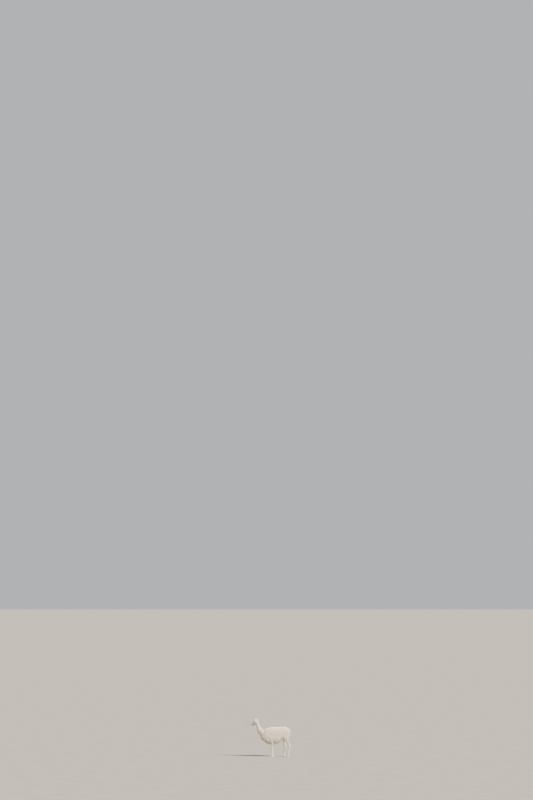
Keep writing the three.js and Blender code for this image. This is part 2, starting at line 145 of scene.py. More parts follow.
def limb(stations, rings, sides, squareness=1.0, upright=False, inset=0.0, span=(0, 1)):
    # stations are x, y, z of the middle, half width, half depth in front and behind
    stations = np.array(stations, float)
    t = np.linspace(span[0], span[1], rings + 1)
    run = smoothRun(stations, t)
    if upright:
        ahead = np.tile([0.0, 1.0, 0.0], (rings + 1, 1))
    else:
        centres = stations[:, :3]
        before, after = np.maximum(t - 1e-3, 0), np.minimum(t + 1e-3, 1)
        ahead = unit(smoothRun(centres, after) - smoothRun(centres, before))
    side = unit(np.array([1.0, 0, 0]) - ahead * ahead[:, :1])
    front = np.cross(side, ahead)
    angle = np.linspace(0, 2 * math.pi, sides, endpoint=False)
    across = np.sign(np.cos(angle)) * np.abs(np.cos(angle)) ** squareness
    depth = np.sign(np.sin(angle)) * np.abs(np.sin(angle)) ** squareness
    inset = inset(run) if callable(inset) else np.full(rings + 1, float(inset))
    girth = np.maximum(run[:, 3:] - inset[:, None], 1.5)
    halfDepth = np.where(np.sin(angle) > 0, girth[:, 1:2], girth[:, 2:3])
    rows = run[:, None, :3] + side[:, None] * (girth[:, :1] * across)[..., None]
    return tube(rows + front[:, None] * (halfDepth * depth)[..., None])


def turned(x, y, z):
    turn = Matrix.Rotation(x, 3, "X") @ Matrix.Rotation(y, 3, "Y") @ Matrix.Rotation(z, 3, "Z")
    return np.array(turn)


def egg(size, at, turn=None, around=32, rows=20):
    # an egg of three half sizes
    down = np.linspace(0.02, math.pi - 0.02, rows)[:, None]
    angle = np.linspace(0, 2 * math.pi, around, endpoint=False)[None, :]
    wide = np.sin(down)
    points, faces = tube(np.stack([wide * np.cos(angle), wide * np.sin(angle), -np.cos(down) + 0 * angle], 2))
    points = points * np.array(size, float)
    if turn is not None:
        points = points @ turn.T
    return points + np.array(at, float), faces


def prism(outline, axisA, axisB, axisC, at, depth):
    # an outline in two axes, drawn out along the third
    a, b = np.array(outline, float).T
    flat = np.outer(a, axisA) + np.outer(b, axisB) + np.array(at, float)
    rows = np.stack([flat, flat + np.array(axisC, float) * depth])
    return tube(rows)


def mirrored(shell):
    points, faces = shell
    return points * np.array([-1.0, 1, 1]), [face[::-1] for face in faces]


def bothSides(shells):
    return list(shells) + [mirrored(shell) for shell in shells]


def joinShells(shells):
    points, faces, start = [], [], 0
    for shellPoints, shellFaces in shells:
        points.append(shellPoints)
        faces += [[start + i for i in face] for face in shellFaces]
        start += len(shellPoints)
    return np.vstack(points), faces


# places: the part in metres, and the body and the head in millimetres
headTurn = Matrix.Rotation(math.radians(body["headTurn"]), 3, "Z")
headDip = Matrix.Rotation(math.radians(body["headDip"]), 3, "X")
headAxes = np.array(headTurn @ headDip)


def toPart(points):
    return (points + np.array(body["shift"])) * 0.001


def toBody(points):
    return points * 1000 - np.array(body["shift"])


def onNeck(points):
    # from the head's own axes to the body's
    return points @ headAxes.T + np.array(body["headAt"], float)


def inHead(points):
    # and back again
    return (points - np.array(body["headAt"], float)) @ headAxes


def leftHalf(points):
    # the head's points with its right half laid over its left one
    return np.column_stack([np.abs(points[:, 0]), points[:, 1:]])


def offFloor(points, gap=0.0005):
    # no point lower than a small gap over the floor, in metres
    points[..., 2] = np.maximum(points[..., 2], gap)
    return points


# objects and their meshes
def addObject(name, data):
    made = bpy.data.objects.new(name, data)
    bpy.context.scene.collection.objects.link(made)
    return made


def meshObject(name, points, faces):
    mesh = bpy.data.meshes.new(name)
    mesh.from_pydata(np.asarray(points).tolist(), [], faces)
    mesh.update()
    return addObject(name, mesh)


def applied(made):
    # the object's modifiers turned into plain mesh
    bpy.context.view_layer.update()
    finished = bpy.data.meshes.new_from_object(made.evaluated_get(bpy.context.evaluated_depsgraph_get()))
    made.modifiers.clear()
    old = made.data
    made.data = finished
    finished.name = made.name
    bpy.data.meshes.remove(old)
    return made


def addModifier(made, kind, **settings):
    modifier = made.modifiers.new(kind.title(), kind)
    for key, value in settings.items():
        setattr(modifier, key, value)
    return modifier


def fused(name, shells, grain, smoothing, keep=1.0):
    # overlapping shells melted into one closed surface, with its creases softened
    points, faces = joinShells(shells)
    made = meshObject(name, points * 0.001, faces)
    addModifier(made, "REMESH", mode="VOXEL", voxel_size=grain * 0.001, adaptivity=0.0)
    addModifier(made, "SMOOTH", factor=0.5, iterations=smoothing)
    if keep < 1:
        addModifier(made, "DECIMATE", ratio=keep)
    return applied(made)


def outwards(mesh):
    edit = bmesh.new()
    edit.from_mesh(mesh)
    bmesh.ops.recalc_face_normals(edit, faces=edit.faces)
    edit.to_mesh(mesh)
    edit.free()


def pointsOf(mesh, what="co"):
    values = np.empty(len(mesh.vertices) * 3, np.float32)
    mesh.vertices.foreach_get(what, values)
    return values.reshape(-1, 3).astype(float)


def normalsOf(mesh):
    return pointsOf(mesh, "normal")


def setPoints(mesh, points):
    mesh.vertices.foreach_set("co", np.asarray(points, np.float32).ravel())
    mesh.update()


def readValues(mesh, name):
    values = np.empty(len(mesh.vertices), np.float32)
    mesh.attributes[name].data.foreach_get("value", values)
    return values


def writeValues(mesh, name, values, kind="FLOAT"):
    made = mesh.attributes.get(name) or mesh.attributes.new(name, kind, "POINT")
    made.data.foreach_set("value" if kind == "FLOAT" else "vector", np.asarray(values, np.float32).ravel())


def joinObjects(objects):
    first = objects[0]
    with bpy.context.temp_override(active_object=first, object=first, selected_editable_objects=objects):
        bpy.ops.object.join()
    return first


# forms: the same runs of sections as the solids
def trunkStations():
    # each row is y, the heights of the back, middle and belly, and the half width
    top, belly, half = body["backTop"], body["bellyBottom"], body["barrelHalf"]
    rows = [
        (-540, top - 330, 742, 694, 40), (-508, top - 240, 754, 644, half * 0.46),
        (-436, top - 138, 768, 580, half * 0.67), (-360, top - 72, 778, 524, half * 0.81),
        (-240, top - 28, 782, belly, half * 0.92), (-90, top - 5, 786, belly - 4, half),
        (60, top, 796, belly + 16, half * 1.02), (170, top + 8, 816, 548, half),
        (262, top + 12, 846, 640, half * 0.96), (360, top + 6, 880, 706, half * 0.9),
        (445, top - 24, 900, 745, half * 0.76), (500, top - 76, 908, 800, half * 0.54),
        (522, top - 130, 912, 860, half * 0.26),
    ]
    return [(0, y, middle, width, high - middle, middle - low) for y, high, middle, low, width in rows]


neckStations = [
    (0, -372, 800, 142, 150, 124), (0, -450, 880, 130, 158, 112), (0, -522, 952, 108, 138, 92),
    (0, -576, 1022, 92, 110, 78), (0, -616, 1092, 80, 86, 71), (0, -646, 1162, 73, 72, 64),
    (-2, -670, 1222, 68, 62, 59), (-4, -694, 1274, 56, 44, 48),
]

tailStations = [
    (0, 455, 1006, 20, 20, 20), (0, 508, 1008, 33, 30, 26), (0, 535, 984, 38, 30, 28),
    (0, 546, 936, 40, 30, 28), (0, 550, 882, 37, 28, 26), (0, 551, 842, 25, 18, 17), (0, 550, 820, 6, 5, 6),
]


def stagger(side, which):
    return 0 if side > 0 else body[which + "Stagger"]


def frontLegStations(side):
    # y is read from the leg's own line
    x, knee, fetlock = body["frontFootX"], body["kneeHeight"], body["fetlockHeight"]
    rows = [
        (x, 2, 26, 27, 25, 26), (x, 3, fetlock - 30, 28, 28, 31), (x, 2, fetlock, 29, 29, 32),
        (x, 0, fetlock + 60, 24, 26, 27), (x, 0, knee - 80, 24, 26, 26), (x, -1, knee - 34, 30, 32, 28),
        (x, -2, knee + 6, 32, 36, 30), (x + 1, 0, knee + 56, 31, 33, 33), (x + 4, 2, 460, 37, 40, 44),
        (x + 12, -4, 530, 48, 54, 62), (x + 24, -20, 610, 62, 78, 86), (x + 34, -48, 700, 68, 96, 98),
        (x + 36, -82, 800, 66, 104, 96), (x + 22, -112, 890, 54, 84, 76), (x + 6, -126, 950, 26, 40, 36),
    ]
    back = stagger(side, "front")
    return [
        (side * x, body["frontLegY"] + y + back * (1 - float(smooth(z, 480, 800))), z, half, front, rear)
        for x, y, z, half, front, rear in rows
    ]


def hindLegStations(side):
    x, hock, fetlock = body["hindFootX"], body["hockHeight"], body["fetlockHeight"]
    rows = [
        (x, 6, 26, 27, 25, 26), (x, 6, fetlock - 30, 28, 28, 31), (x, 2, fetlock, 29, 29, 33),
        (x - 1, -5, fetlock + 70, 24, 27, 28), (x - 2, -2, hock - 150, 24, 28, 28),
        (x - 4, 8, hock - 70, 28, 33, 35), (x - 6, 12, hock - 4, 33, 43, 48),
        (x - 6, -6, hock + 48, 36, 47, 50), (x - 5, -34, hock + 112, 42, 52, 48),
        (x - 3, -60, 596, 52, 58, 52), (x, -84, 652, 64, 96, 82), (x + 3, -114, 712, 74, 140, 124),
        (x + 4, -132, 780, 80, 150, 144), (x, -136, 860, 82, 146, 146), (x - 8, -130, 940, 76, 122, 124),
        (x - 24, -124, 1020, 44, 60, 64),
    ]
    back = stagger(side, "hind")

    def shifted(z):
        return back * (1 - float(smooth(z, 430, 900))) - body["hindLean"] * max(0, 1 - z / hock)

    return [
        (side * x, body["hindLegY"] + y + shifted(z), z, half, front, rear)
        for x, y, z, half, front, rear in rows
    ]


legs = []
for side, label in ((1, "left"), (-1, "right")):
    # x and y are the foot's middle, and the spans are the shares of the run that the two skins cover
    legs.append({
        "name": "front_" + label, "side": side, "front": True, "stations": frontLegStations(side),
        "x": side * body["frontFootX"], "y": body["frontLegY"] + stagger(side, "front"),
        "lowerSpan": (0, 0.6), "upperSpan": (0.5, 1),
    })
    legs.append({
        "name": "hind_" + label, "side": side, "front": False, "stations": hindLegStations(side),
        "x": side * body["hindFootX"],
        "y": body["hindLegY"] - body["hindLean"] + stagger(side, "hind"),
        "lowerSpan": (0, 0.5), "upperSpan": (0.4, 1),
    })

footPlan = {
    "toeApart": 20.5,  # from the foot's middle to the middle of each toe
    "toeLength": 104,
    "heelBack": 40,  # how far the toes start behind the foot's middle
    "lean": 16,  # how far each toe leans towards the other one from heel to tip
    "leanFrom": 0.4,  # the share of its length where it stands at its own distance
    "nailFrom": 0.8,  # the share of its length where the nail starts
    "nailShare": 0.33,  # the share of its length over which the nail leans with it
    "nailLength": 31,
}


def toeStations(x, y, toe):
    rows = [
        (1, 7, 13, 7, 14), (0.9, 15, 15, 13, 18), (0.7, 19.5, 18, 20, 22), (0.45, 20.5, 22, 27, 26),
        (0.2, 20, 22, 26, 26), (0, 11, 20, 13, 21),
    ]
    x, heel = x + toe * footPlan["toeApart"], y + footPlan["heelBack"]
    length, lean, middle = footPlan["toeLength"], footPlan["lean"], footPlan["leanFrom"]
    return [
        (x + toe * (middle - along) * lean, heel - along * length, z, half, up, down)
        for along, half, z, up, down in rows
    ]


def nailStations(x, y, toe):
    rows = [(1, 2.6, 7.5, 2.6, 2), (0.75, 6.6, 11.5, 5.4, 5), (0.4, 9, 16.5, 7.8, 7), (0, 9, 21, 7.4, 6)]
    x, heel = x + toe * footPlan["toeApart"], y + footPlan["heelBack"]
    start = heel - footPlan["toeLength"] * footPlan["nailFrom"]
    middle = footPlan["leanFrom"] - footPlan["nailFrom"]
    length, share, lean = footPlan["nailLength"], footPlan["nailShare"], footPlan["lean"]
    return [
        (x + toe * (middle - along * share) * lean, start - along * length, z, half, up, down)
        for along, half, z, up, down in rows
    ]


# head, modelled facing -Y with the joint of the neck at its origin
def headRun(rows):
    # each row is the share of the head's length, the height of its middle, up, down and the half width
    return [
        (0, body["headBack"] - along * body["headLength"], middle, half, up, down)
        for along, middle, up, down, half in rows
    ]


headStations = headRun([
    (1.03, -48, 12, 14, 15), (1, -46, 30, 30, 28), (0.94, -42, 39, 40, 35), (0.85, -36, 45, 48, 38),
    (0.74, -29, 49, 54, 40), (0.62, -20, 51, 62, 44), (0.5, -9, 55, 74, 51), (0.39, 1, 58, 83, 58),
    (0.27, 8, 60, 88, 62), (0.15, 9, 59, 87, 61), (0.03, 4, 52, 76, 56), (-0.07, 0, 41, 60, 47),
    (-0.14, -6, 16, 26, 20),
])
chinStations = headRun([
    (0.975, -76, 6, 6, 9), (0.95, -76, 11, 12, 20), (0.88, -76, 12, 13, 26), (0.79, -72, 10, 12, 22),
])
mouthLine = [(-292, -66), (-268, -63), (-240, -61), (-215, -58), (-196, -52)]  # y and z, lips to corner
nostrilSlit = [(17, -283, -39), (23, -279, -32), (27, -272, -28), (30, -264, -27)]  # on the left, slanted

eyePlace = np.array([41.0, -84.0, 17.0])
eyeOut = unit(np.array([0.93, -0.32, 0.1]))
eyeAcross = unit(np.cross([0, 0, 1.0], eyeOut))  # from the eye's front corner to its back one
eyeUp = np.cross(eyeOut, eyeAcross)
farOff = 99.0  # mm, for points that lie near no lid or line


def lidCurve(count):
    # the almond between the lids, in eyeAcross and eyeUp: lower lid forwards, then the upper lid back
    def arc(a, b, c):
        t = np.linspace(0, 1, count)[:, None]
        a, b, c = np.array(a, float), np.array(b, float), np.array(c, float)
        return (1 - t) ** 2 * a + 2 * t * (1 - t) * b + t**2 * c
    return arc((-18, -2), (2, -20), (18, 2)), arc((18, 2), (-3, 23), (-18, -2))


def lidDistance(points):
    # how far each point lies from the edge of the nearer eye's lids, and how high beside the eye
    around = leftHalf(points) - eyePlace
    a, b, c = around @ eyeAcross, around @ eyeUp, around @ eyeOut
    edge = np.vstack(lidCurve(24))
    near = np.full(len(points), farOff)
    close = np.where((np.hypot(a, b) < 40) & (c > 0))[0]
    gaps = np.hypot(a[close, None] - edge[None, :, 0], b[close, None] - edge[None, :, 1])
    near[close] = gaps.min(1)
    return near, b


def lineDistance(points, line):
    # how far each point lies from a broken line, in the axes that the line has
    line = np.array(line, float)
    best = np.full(len(points), farOff)
    for start, end in zip(line[:-1], line[1:]):
        way = end - start
        share = np.clip((points - start) @ way / (way @ way), 0, 1)
        best = np.minimum(best, np.linalg.norm(points - (start + share[:, None] * way), axis=1))
    return best


# skin: the body under the fleece, the finer lower legs and feet, the finest head, and the ears
skinPlan = {
    # how far the skin lies under the tips of the coat, in mm
    "trunkInset": 20, "neckInset": 13, "tailInset": 13, "thighInset": 12, "forearmInset": 7,
    "skullInset": 7, "shortInset": 1.5,
    # how fine each part is melted together in mm, how often it is smoothed, and the share of faces kept
    "body": {"grain": 6.0, "smoothing": 26, "keep": 0.5},
    "legs": {"grain": 2.8, "smoothing": 2, "keep": 0.34},
    "head": {"grain": 1.6, "smoothing": 4, "keep": 0.32},
    "legSwap": (440, 480),  # height at which the finer lower legs take over
    "swapSunk": 2.5,  # how far each of the two skins dives under the other there
}


def legInset(leg, lower):
    def inset(run):
        z = run[:, 2]
        deep = skinPlan["forearmInset"] if leg["front"] else skinPlan["thighInset"]
        coat = skinPlan["shortInset"] + (deep - skinPlan["shortInset"]) * smooth(z, 480, 640)
        taken = smooth(z, *skinPlan["legSwap"])
        return coat + skinPlan["swapSunk"] * (taken if lower else 1 - taken)
    return inset


def lowerLeg(leg):
    shells = [limb(leg["stations"], 110, 40, 0.95, inset=legInset(leg, True), span=leg["lowerSpan"])]
    for toe in (1, -1):
        shells.append(limb(toeStations(leg["x"], leg["y"], toe), 30, 28, 0.86))
    return shells


groovePlan = {
    # the hollow on each side of the cannon, between the bone and the tendon behind it, in metres
    "behind": 0.009, "width": 0.006, "depth": 0.0035,
    "starts": (0.11, 0.16), "ends": (0.24, 0.29),  # heights between which it comes and goes
}


def tendonGroove(points):
    plan = groovePlan
    height = points[:, 2]
    for leg in legs:
        run = np.array(leg["stations"])
        x = (leg["x"] + body["shift"][0]) * 0.001
        y = (np.interp(height * 1000, run[:, 2], run[:, 1]) + body["shift"][1]) * 0.001
        near = np.abs(points[:, 0] - x) < 0.05
        near &= np.abs(points[:, 1] - y) < 0.06
        window = smooth(height, *plan["starts"]) * (1 - smooth(height, *plan["ends"]))
        groove = ridge(points[:, 1] - y, plan["behind"], plan["width"]) * window * near
        points[:, 0] -= np.sign(points[:, 0] - x) * plan["depth"] * groove
    return points


def headShells():
    swells = [
        egg((22.5, 24, 22), eyePlace),  # lids round the eye
        egg((16, 25, 21), (14, -262, -46), turned(0.2, 0, -0.25)),  # upper lip
        egg((20, 52, 40), (38, -40, -30), turned(0.25, 0, 0)),  # cheek
        egg((13, 13, 22), (43, -12, 36), turned(0, 0.2, 0)),  # root of the ear
    ]
    return [limb(headStations, 120, 72, 0.9), limb(chinStations, 40, 40, 0.9)] + bothSides(swells)


def lidCutters():
    # the openings between the lids, cut from inside the eye outwards
    low, high = lidCurve(14)
    start, depth = eyePlace + eyeOut * 8, 30
    almond = prism(np.vstack([low[:-1], high[:-1]]), eyeAcross, eyeUp, eyeOut, start, depth)
    return bothSides([almond])


def foldFace(points, normals):
    # rims and folds of the lids, lips and nostrils, each raised or sunk by so many mm
    ahead, height = -points[:, 1], points[:, 2]
    fromLid, beside = lidDistance(points)
    rise = 0.9 * ridge(fromLid, 0, 2.4)  # rims of the lids
    rise -= 1.7 * ridge(fromLid, 6.5, 1.9) * smooth(beside, -2, 4)  # fold over the upper lid
    rise -= 0.8 * ridge(fromLid, 5.5, 1.8) * (1 - smooth(beside, -6, -1))  # fold under the lower one
    fromMouth = lineDistance(points[:, 1:], mouthLine)
    rise += 1.2 * ridge(fromMouth, 4.5, 2.4) * smooth(ahead, 205, 240)  # lips
    rise -= 5.0 * ridge(fromMouth, 0, 1.7) * smooth(ahead, 192, 204)  # the line between them
    cleft = smooth(ahead, 268, 280) * smooth(height, -68, -64) * (1 - smooth(height, -44, -36))
    rise -= 4.0 * ridge(points[:, 0], 0, 1.8) * cleft  # cleft of the upper lip
    fromNostril = lineDistance(leftHalf(points), nostrilSlit)
    rise += 1.3 * ridge(fromNostril, 5, 2.6)
    rise -= 6.5 * ridge(fromNostril, 0, 2.2, 4)
    return points + normals * rise[:, None]


def makeHead():
    plan = skinPlan["head"]
    head = fused("headSkin", headShells(), plan["grain"], plan["smoothing"])
    points, faces = joinShells(lidCutters())
    cutter = meshObject("cutter", points * 0.001, faces)
    outwards(cutter.data)
    addModifier(head, "BOOLEAN", operation="DIFFERENCE", solver="MANIFOLD", object=cutter)
    applied(head)
    bpy.data.objects.remove(cutter)
    addModifier(head, "REMESH", mode="VOXEL", voxel_size=plan["grain"] * 0.0009)  # a tenth finer than before
    addModifier(head, "SMOOTH", factor=0.5, iterations=plan["smoothing"])
    applied(head)
    setPoints(head.data, foldFace(pointsOf(head.data) * 1000, normalsOf(head.data)) * 0.001)
    addModifier(head, "DECIMATE", ratio=plan["keep"])
    applied(head)
    setPoints(head.data, toPart(onNeck(pointsOf(head.data) * 1000)))
    return head


earPlan = {
    "rings": 46, "around": 26,
    "root": (41, -14, 38),
    "radius": 25,
    "wall": 3.2,
    "opening": (118, 38),  # degrees that each half of the cup reaches round, and how many fewer at the tip
    "outward": 0.5,  # radians that the cup faces outwards
}


def earShell(side):
    # a long cup, open forwards and outwards, its tip bent inwards, with 1 for the points of its inside
    rings, around = earPlan["rings"], earPlan["around"]
    x, y, z = earPlan["root"]
    wide, narrowing = earPlan["opening"]
    t = np.linspace(0, 1, rings)[:, None]
    bend = 15 * np.sin(t * 2.6) - 19 * t**2
    centre = np.stack([x + bend, y + 7 * np.sin(t * 3), z + t * body["earLength"]], 2)
    radius = earPlan["radius"] * np.sin(math.pi * (0.2 + 0.78 * t)) ** 0.8
    share = np.linspace(-1, 1, around)[None, :]
    angle = share * np.radians(wide - narrowing * t) - earPlan["outward"]
    outward = np.stack([np.sin(angle), np.cos(angle), 0 * angle], 2)
    thick = np.minimum(earPlan["wall"], radius * 0.5) * (1 - 0.45 * np.abs(share) ** 6)
    outer = centre + outward * radius[..., None]
    inner = centre + outward * (radius - thick)[..., None]
    shell = tube(np.concatenate([outer, inner[:, ::-1]], 1))
    inside = np.zeros(len(shell[0]))
    inside[:rings * 2 * around].reshape(rings, -1)[:, around + 2:2 * around - 2] = 1
    return (shell if side > 0 else mirrored(shell)), inside


def lumpy(points, normals):
    # soft lumps of fleece, larger than its locks
    size, height = 0.085, 0.007
    rise = np.array([clouds.noise(Vector(point) / size) for point in points]) * height
    window = smooth(points[:, 2], 0.5, 0.65) * (1 - smooth(points[:, 2], 1.05, 1.15))
    return points + normals * (rise * window)[:, None]


def tagged(made, number, inner=0):
    # remembers which part of the skin each point came from
    count = len(made.data.vertices)
    writeValues(made.data, "part", np.full(count, number))
    writeValues(made.data, "innerEar", np.zeros(count) + inner)
    writeValues(made.data, "buried", np.zeros(count))
    return made


def markBuried(made, others):
    # 1 where a point of one part of the skin lies inside another
    reach = 0.2  # metres, as deep as any point of one part lies in another
    points = pointsOf(made.data)
    inside = np.zeros(len(points))
    for other in others:
        faces = [list(face.vertices) for face in other.data.polygons]
        tree = BVHTree.FromPolygons(pointsOf(other.data).tolist(), faces)
        for i, point in enumerate(points):
            where, normal, _, _ = tree.find_nearest(Vector(point), reach)
            if where is not None and (where - Vector(point)).dot(normal) > 0:
                inside[i] = 1
    writeValues(made.data, "buried", inside)


def bodyShells():
    # trunk, neck, tail and the upper part of each leg, in that order
    trunk = limb(trunkStations(), 110, 90, 0.88, upright=True, inset=skinPlan["trunkInset"])
    neck = limb(neckStations, 80, 60, inset=skinPlan["neckInset"])
    tail = limb(tailStations, 50, 30, inset=skinPlan["tailInset"])
    hips = [
        limb(leg["stations"], 90, 48, 0.95, inset=legInset(leg, False), span=leg["upperSpan"])
        for leg in legs
    ]
    return [trunk, neck, tail] + hips


def fusedPart(name, shells, plan):
    return fused(name, [(toPart(points) * 1000, faces) for points, faces in shells], **plan)


def makeBody(shells):
    # the back of the skull lies inside the top of the neck and closes it
    points, faces = limb(headStations, 40, 40, 0.9, inset=skinPlan["skullInset"], span=(0.76, 1))
    made = fusedPart("bodySkin", shells + [(onNeck(points), faces)], skinPlan["body"])
    setPoints(made.data, lumpy(pointsOf(made.data), normalsOf(made.data)))
    return made


def makeLowerLegs():
    # the pads of the toes are flat, just off the floor
    made = fusedPart("legSkin", [shell for leg in legs for shell in lowerLeg(leg)], skinPlan["legs"])
    setPoints(made.data, offFloor(tendonGroove(pointsOf(made.data)), 0.0004))
    return made


def makeEars():
    ears = []
    for side in (1, -1):
        (points, faces), inside = earShell(side)
        ears.append(tagged(meshObject("ear", toPart(onNeck(points)), faces), 3, inside))
    return ears


def makeSkin(shells):
    parts = [tagged(makeBody(shells), 0), tagged(makeLowerLegs(), 1), tagged(makeHead(), 2)]
    bodyPart, legPart, headPart = parts
    markBuried(bodyPart, [legPart, headPart])
    markBuried(legPart, [bodyPart])
    markBuried(headPart, [bodyPart])
    skin = joinObjects(parts + makeEars())
    skin.name = skin.data.name = "skin"
    addModifier(skin, "TRIANGULATE")
    applied(skin)
    skin.data.shade_smooth()
    return skin


shells = bodyShells()
skin = makeSkin(shells)
print("skin:", len(skin.data.polygons), "triangles")


# coat plan: how deep and long the coat is on each part, and which way it lies
coatPlan = {
    # length and how far the tips stand off the skin, in mm
    "trunk": (54, 21), "neck": (40, 14), "upperNeck": (28, 10), "thigh": (44, 13), "forearm": (32, 8),
    "leg": (13, 1.5), "foot": (9, 0.8), "tail": (62, 13),
    "cheek": (12, 2.2), "face": (6, 0.8), "crown": (15, 3.6), "throat": (17, 4.5), "ear": (13, 1.5),
    "earRoot": (9, 1.2), "lid": (4, 0.5),
}


def nearestOf(points, targets):
    # the number of the target that lies nearest to each point
    tree = kdtree.KDTree(len(targets))
    for i, target in enumerate(targets):
        tree.insert(target, i)
    tree.balance()
    return np.array([tree.find(point)[1] for point in points])


def nearestShell(points, shells):
    # which shell each point of the body lies nearest to
    numbers = np.repeat(np.arange(len(shells)), [len(shell[0]) for shell in shells])
    return numbers[nearestOf(points, np.vstack([toPart(shell[0]) for shell in shells]))]


def evened(mesh, values, rounds):
    # values at the points, softened along the mesh's edges
    edges = np.empty(len(mesh.edges) * 2, np.int32)
    mesh.edges.foreach_get("vertices", edges)
    a, b = edges.reshape(-1, 2).T
    count = np.bincount(a, minlength=len(values)) + np.bincount(b, minlength=len(values)) + 1.0
    values = values.astype(float)
    for _ in range(rounds):
        total = values.copy()
        for column in range(values.shape[1]):
            total[:, column] += np.bincount(a, values[b, column], len(values))
            total[:, column] += np.bincount(b, values[a, column], len(values))
        values = total / count[:, None]
    return values


def placesOn(mesh, shells):
    # where each point of the skin lies: on which part, near which shell, and where on the head
    points = pointsOf(mesh)
    part = readValues(mesh, "part").round()
    onBody = part == 0
    kind = np.full(len(points), -1)
    kind[onBody] = nearestShell(points[onBody], shells)
    mm = toBody(points)
    head = inHead(mm)
    return {
        "height": mm[:, 2], "normals": normalsOf(mesh), "kind": kind, "head": head,
        "back": -head[:, 1],  # 0 at the joint of the neck, growing to the nose
        "fromLid": lidDistance(head)[0],
        "onLeg": part == 1, "onHead": part == 2, "onEar": part == 3,
    }


def coatOf(name):
    return np.array(coatPlan[name], float)


def headCoat(at):
    # length and lift of the hair on the head
    back, height = at["back"], at["head"][:, 2]
    crown = smooth(height, 34, 62) * (1 - smooth(back, 20, 110))
    throat = smooth(-height, 20, 70) * (1 - smooth(back, 20, 160))
    fromEar = np.linalg.norm(leftHalf(at["head"]) - [42, -13, 42], axis=1)
    coat = blend(coatOf("cheek"), coatOf("face"), smooth(back, 70, 220)[:, None])
    coat = blend(coat, coatOf("crown"), crown[:, None])
    coat = blend(coat, coatOf("throat"), throat[:, None])
    coat = blend(coatOf("upperNeck"), coat, smooth(back, -10, 60)[:, None])
    coat = blend(coatOf("earRoot"), coat, smooth(fromEar, 20, 40)[:, None])
    return blend(coatOf("lid"), coat, smooth(at["fromLid"], 5, 30)[:, None])


def coatEverywhere(at):
    # length and lift of the coat, and how far it is wool and not hair
    height, kind, onLeg, onHead = at["height"], at["kind"], at["onLeg"], at["onHead"]
    coat = np.tile(coatOf("leg"), (len(kind), 1))
    wool = np.zeros(len(kind))
    isNeck = kind == 1
    coat[kind == 0] = coatOf("trunk")
    coat[isNeck] = blend(coatOf("neck"), coatOf("upperNeck"), smooth(height[isNeck], 980, 1230)[:, None])
    coat[kind == 2] = coatOf("tail")
    wool[(kind >= 0) & (kind <= 2)] = 1
    for number, leg in enumerate(legs):
        rows = kind == 3 + number
        upper = coatOf("forearm" if leg["front"] else "thigh")
        coat[rows] = blend(coatOf("leg"), upper, smooth(height[rows], 430, 700)[:, None])
        wool[rows] = smooth(height[rows], 420, 600)
    coat[onLeg] = blend(coatOf("foot"), coatOf("leg"), smooth(height[onLeg], 60, 140)[:, None])
    coat[onHead] = headCoat(at)[onHead]
    coat[at["onEar"]] = coatOf("ear")
    wool[onHead] = 1 - smooth(at["back"][onHead], -12, 30)
    return coat, wool


def bodyLie(at):
    # the coat hangs down and a little back, and lies back on top of the animal
    lie = np.tile([0.0, 0.45, -1.0], (len(at["height"]), 1))
    lie[:, 1] = blend(0.12, 0.45, smooth(at["height"], 420, 640))
    return blend(lie, np.array([0.0, 1.0, -0.35]), smooth(at["normals"][:, 2], 0.25, 0.85)[:, None])


def headLie(at):
    # back along the face, down at the nape and throat, away from the eyes, and up the ears
    head, back = at["head"], at["back"]
    lie = np.tile([0, 1.0, -0.12], (len(head), 1))
    lie[:, 2] -= 1.4 * (1 - smooth(back, -45, 0))
    lie[:, 2] -= 0.5 * smooth(-head[:, 2], -10, 60) * (1 - smooth(back, 60, 170))
    away = unit(leftHalf(head) - eyePlace)
    away[:, 0] *= np.where(head[:, 0] < 0, -1, 1)
    nearEye = (1 - smooth(at["fromLid"], 3, 24)) * at["onHead"]
    lie += 2.2 * away * nearEye[:, None]
    lie[at["onEar"]] = (0, 0.12, 1.0)
    return lie @ headAxes.T


def barePlaces(at, innerEar):
    # 1 on lips, nostrils, rims of the lids and pads, less inside the ears and between the nostrils
    head, back = at["head"], at["back"]
    lips = (1 - smooth(lineDistance(head[:, 1:], mouthLine), 1.5, 4.5)) * smooth(back, 215, 250)
    nose = 1 - smooth(lineDistance(leftHalf(head), nostrilSlit), 2.5, 5)
    tip = smooth(back, 276, 288) * (1 - smooth(head[:, 2], -44, -34))
    tip *= 1 - smooth(np.abs(head[:, 0]), 12, 20)
    lids = 1 - smooth(at["fromLid"], 2, 5)
    bare = np.maximum.reduce([lips, nose, tip * 0.42, lids]) * at["onHead"]
    bare = np.maximum(bare, innerEar * 0.9)
    bare[(at["height"] < 5) & at["onLeg"]] = 1
    return bare


def planCoat(mesh, shells):
    at = placesOn(mesh, shells)
    coat, wool = coatEverywhere(at)
    bare = barePlaces(at, readValues(mesh, "innerEar"))
    onHead = (at["onHead"] | at["onEar"])[:, None]
    lie = flattened(np.where(onHead, headLie(at), bodyLie(at)), at["normals"])
    lie = flattened(evened(mesh, lie, 10), at["normals"])
    softened = evened(mesh, np.column_stack([coat, wool]), 14)
    free = 1 - readValues(mesh, "buried").round()  # nothing grows where the skin lies inside another part
    wool = softened[:, 2] * free
    hair = (1 - smooth(wool, 0.25, 0.6)) * (1 - smooth(bare, 0.2, 0.7)) * free
    writeValues(mesh, "coatLength", softened[:, 0] * 0.001)
    writeValues(mesh, "coatLift", softened[:, 1] * 0.001)
    writeValues(mesh, "wool", wool)
    writeValues(mesh, "bare", bare)
    writeValues(mesh, "hair", hair)
    writeValues(mesh, "lie", lie, "FLOAT_VECTOR")


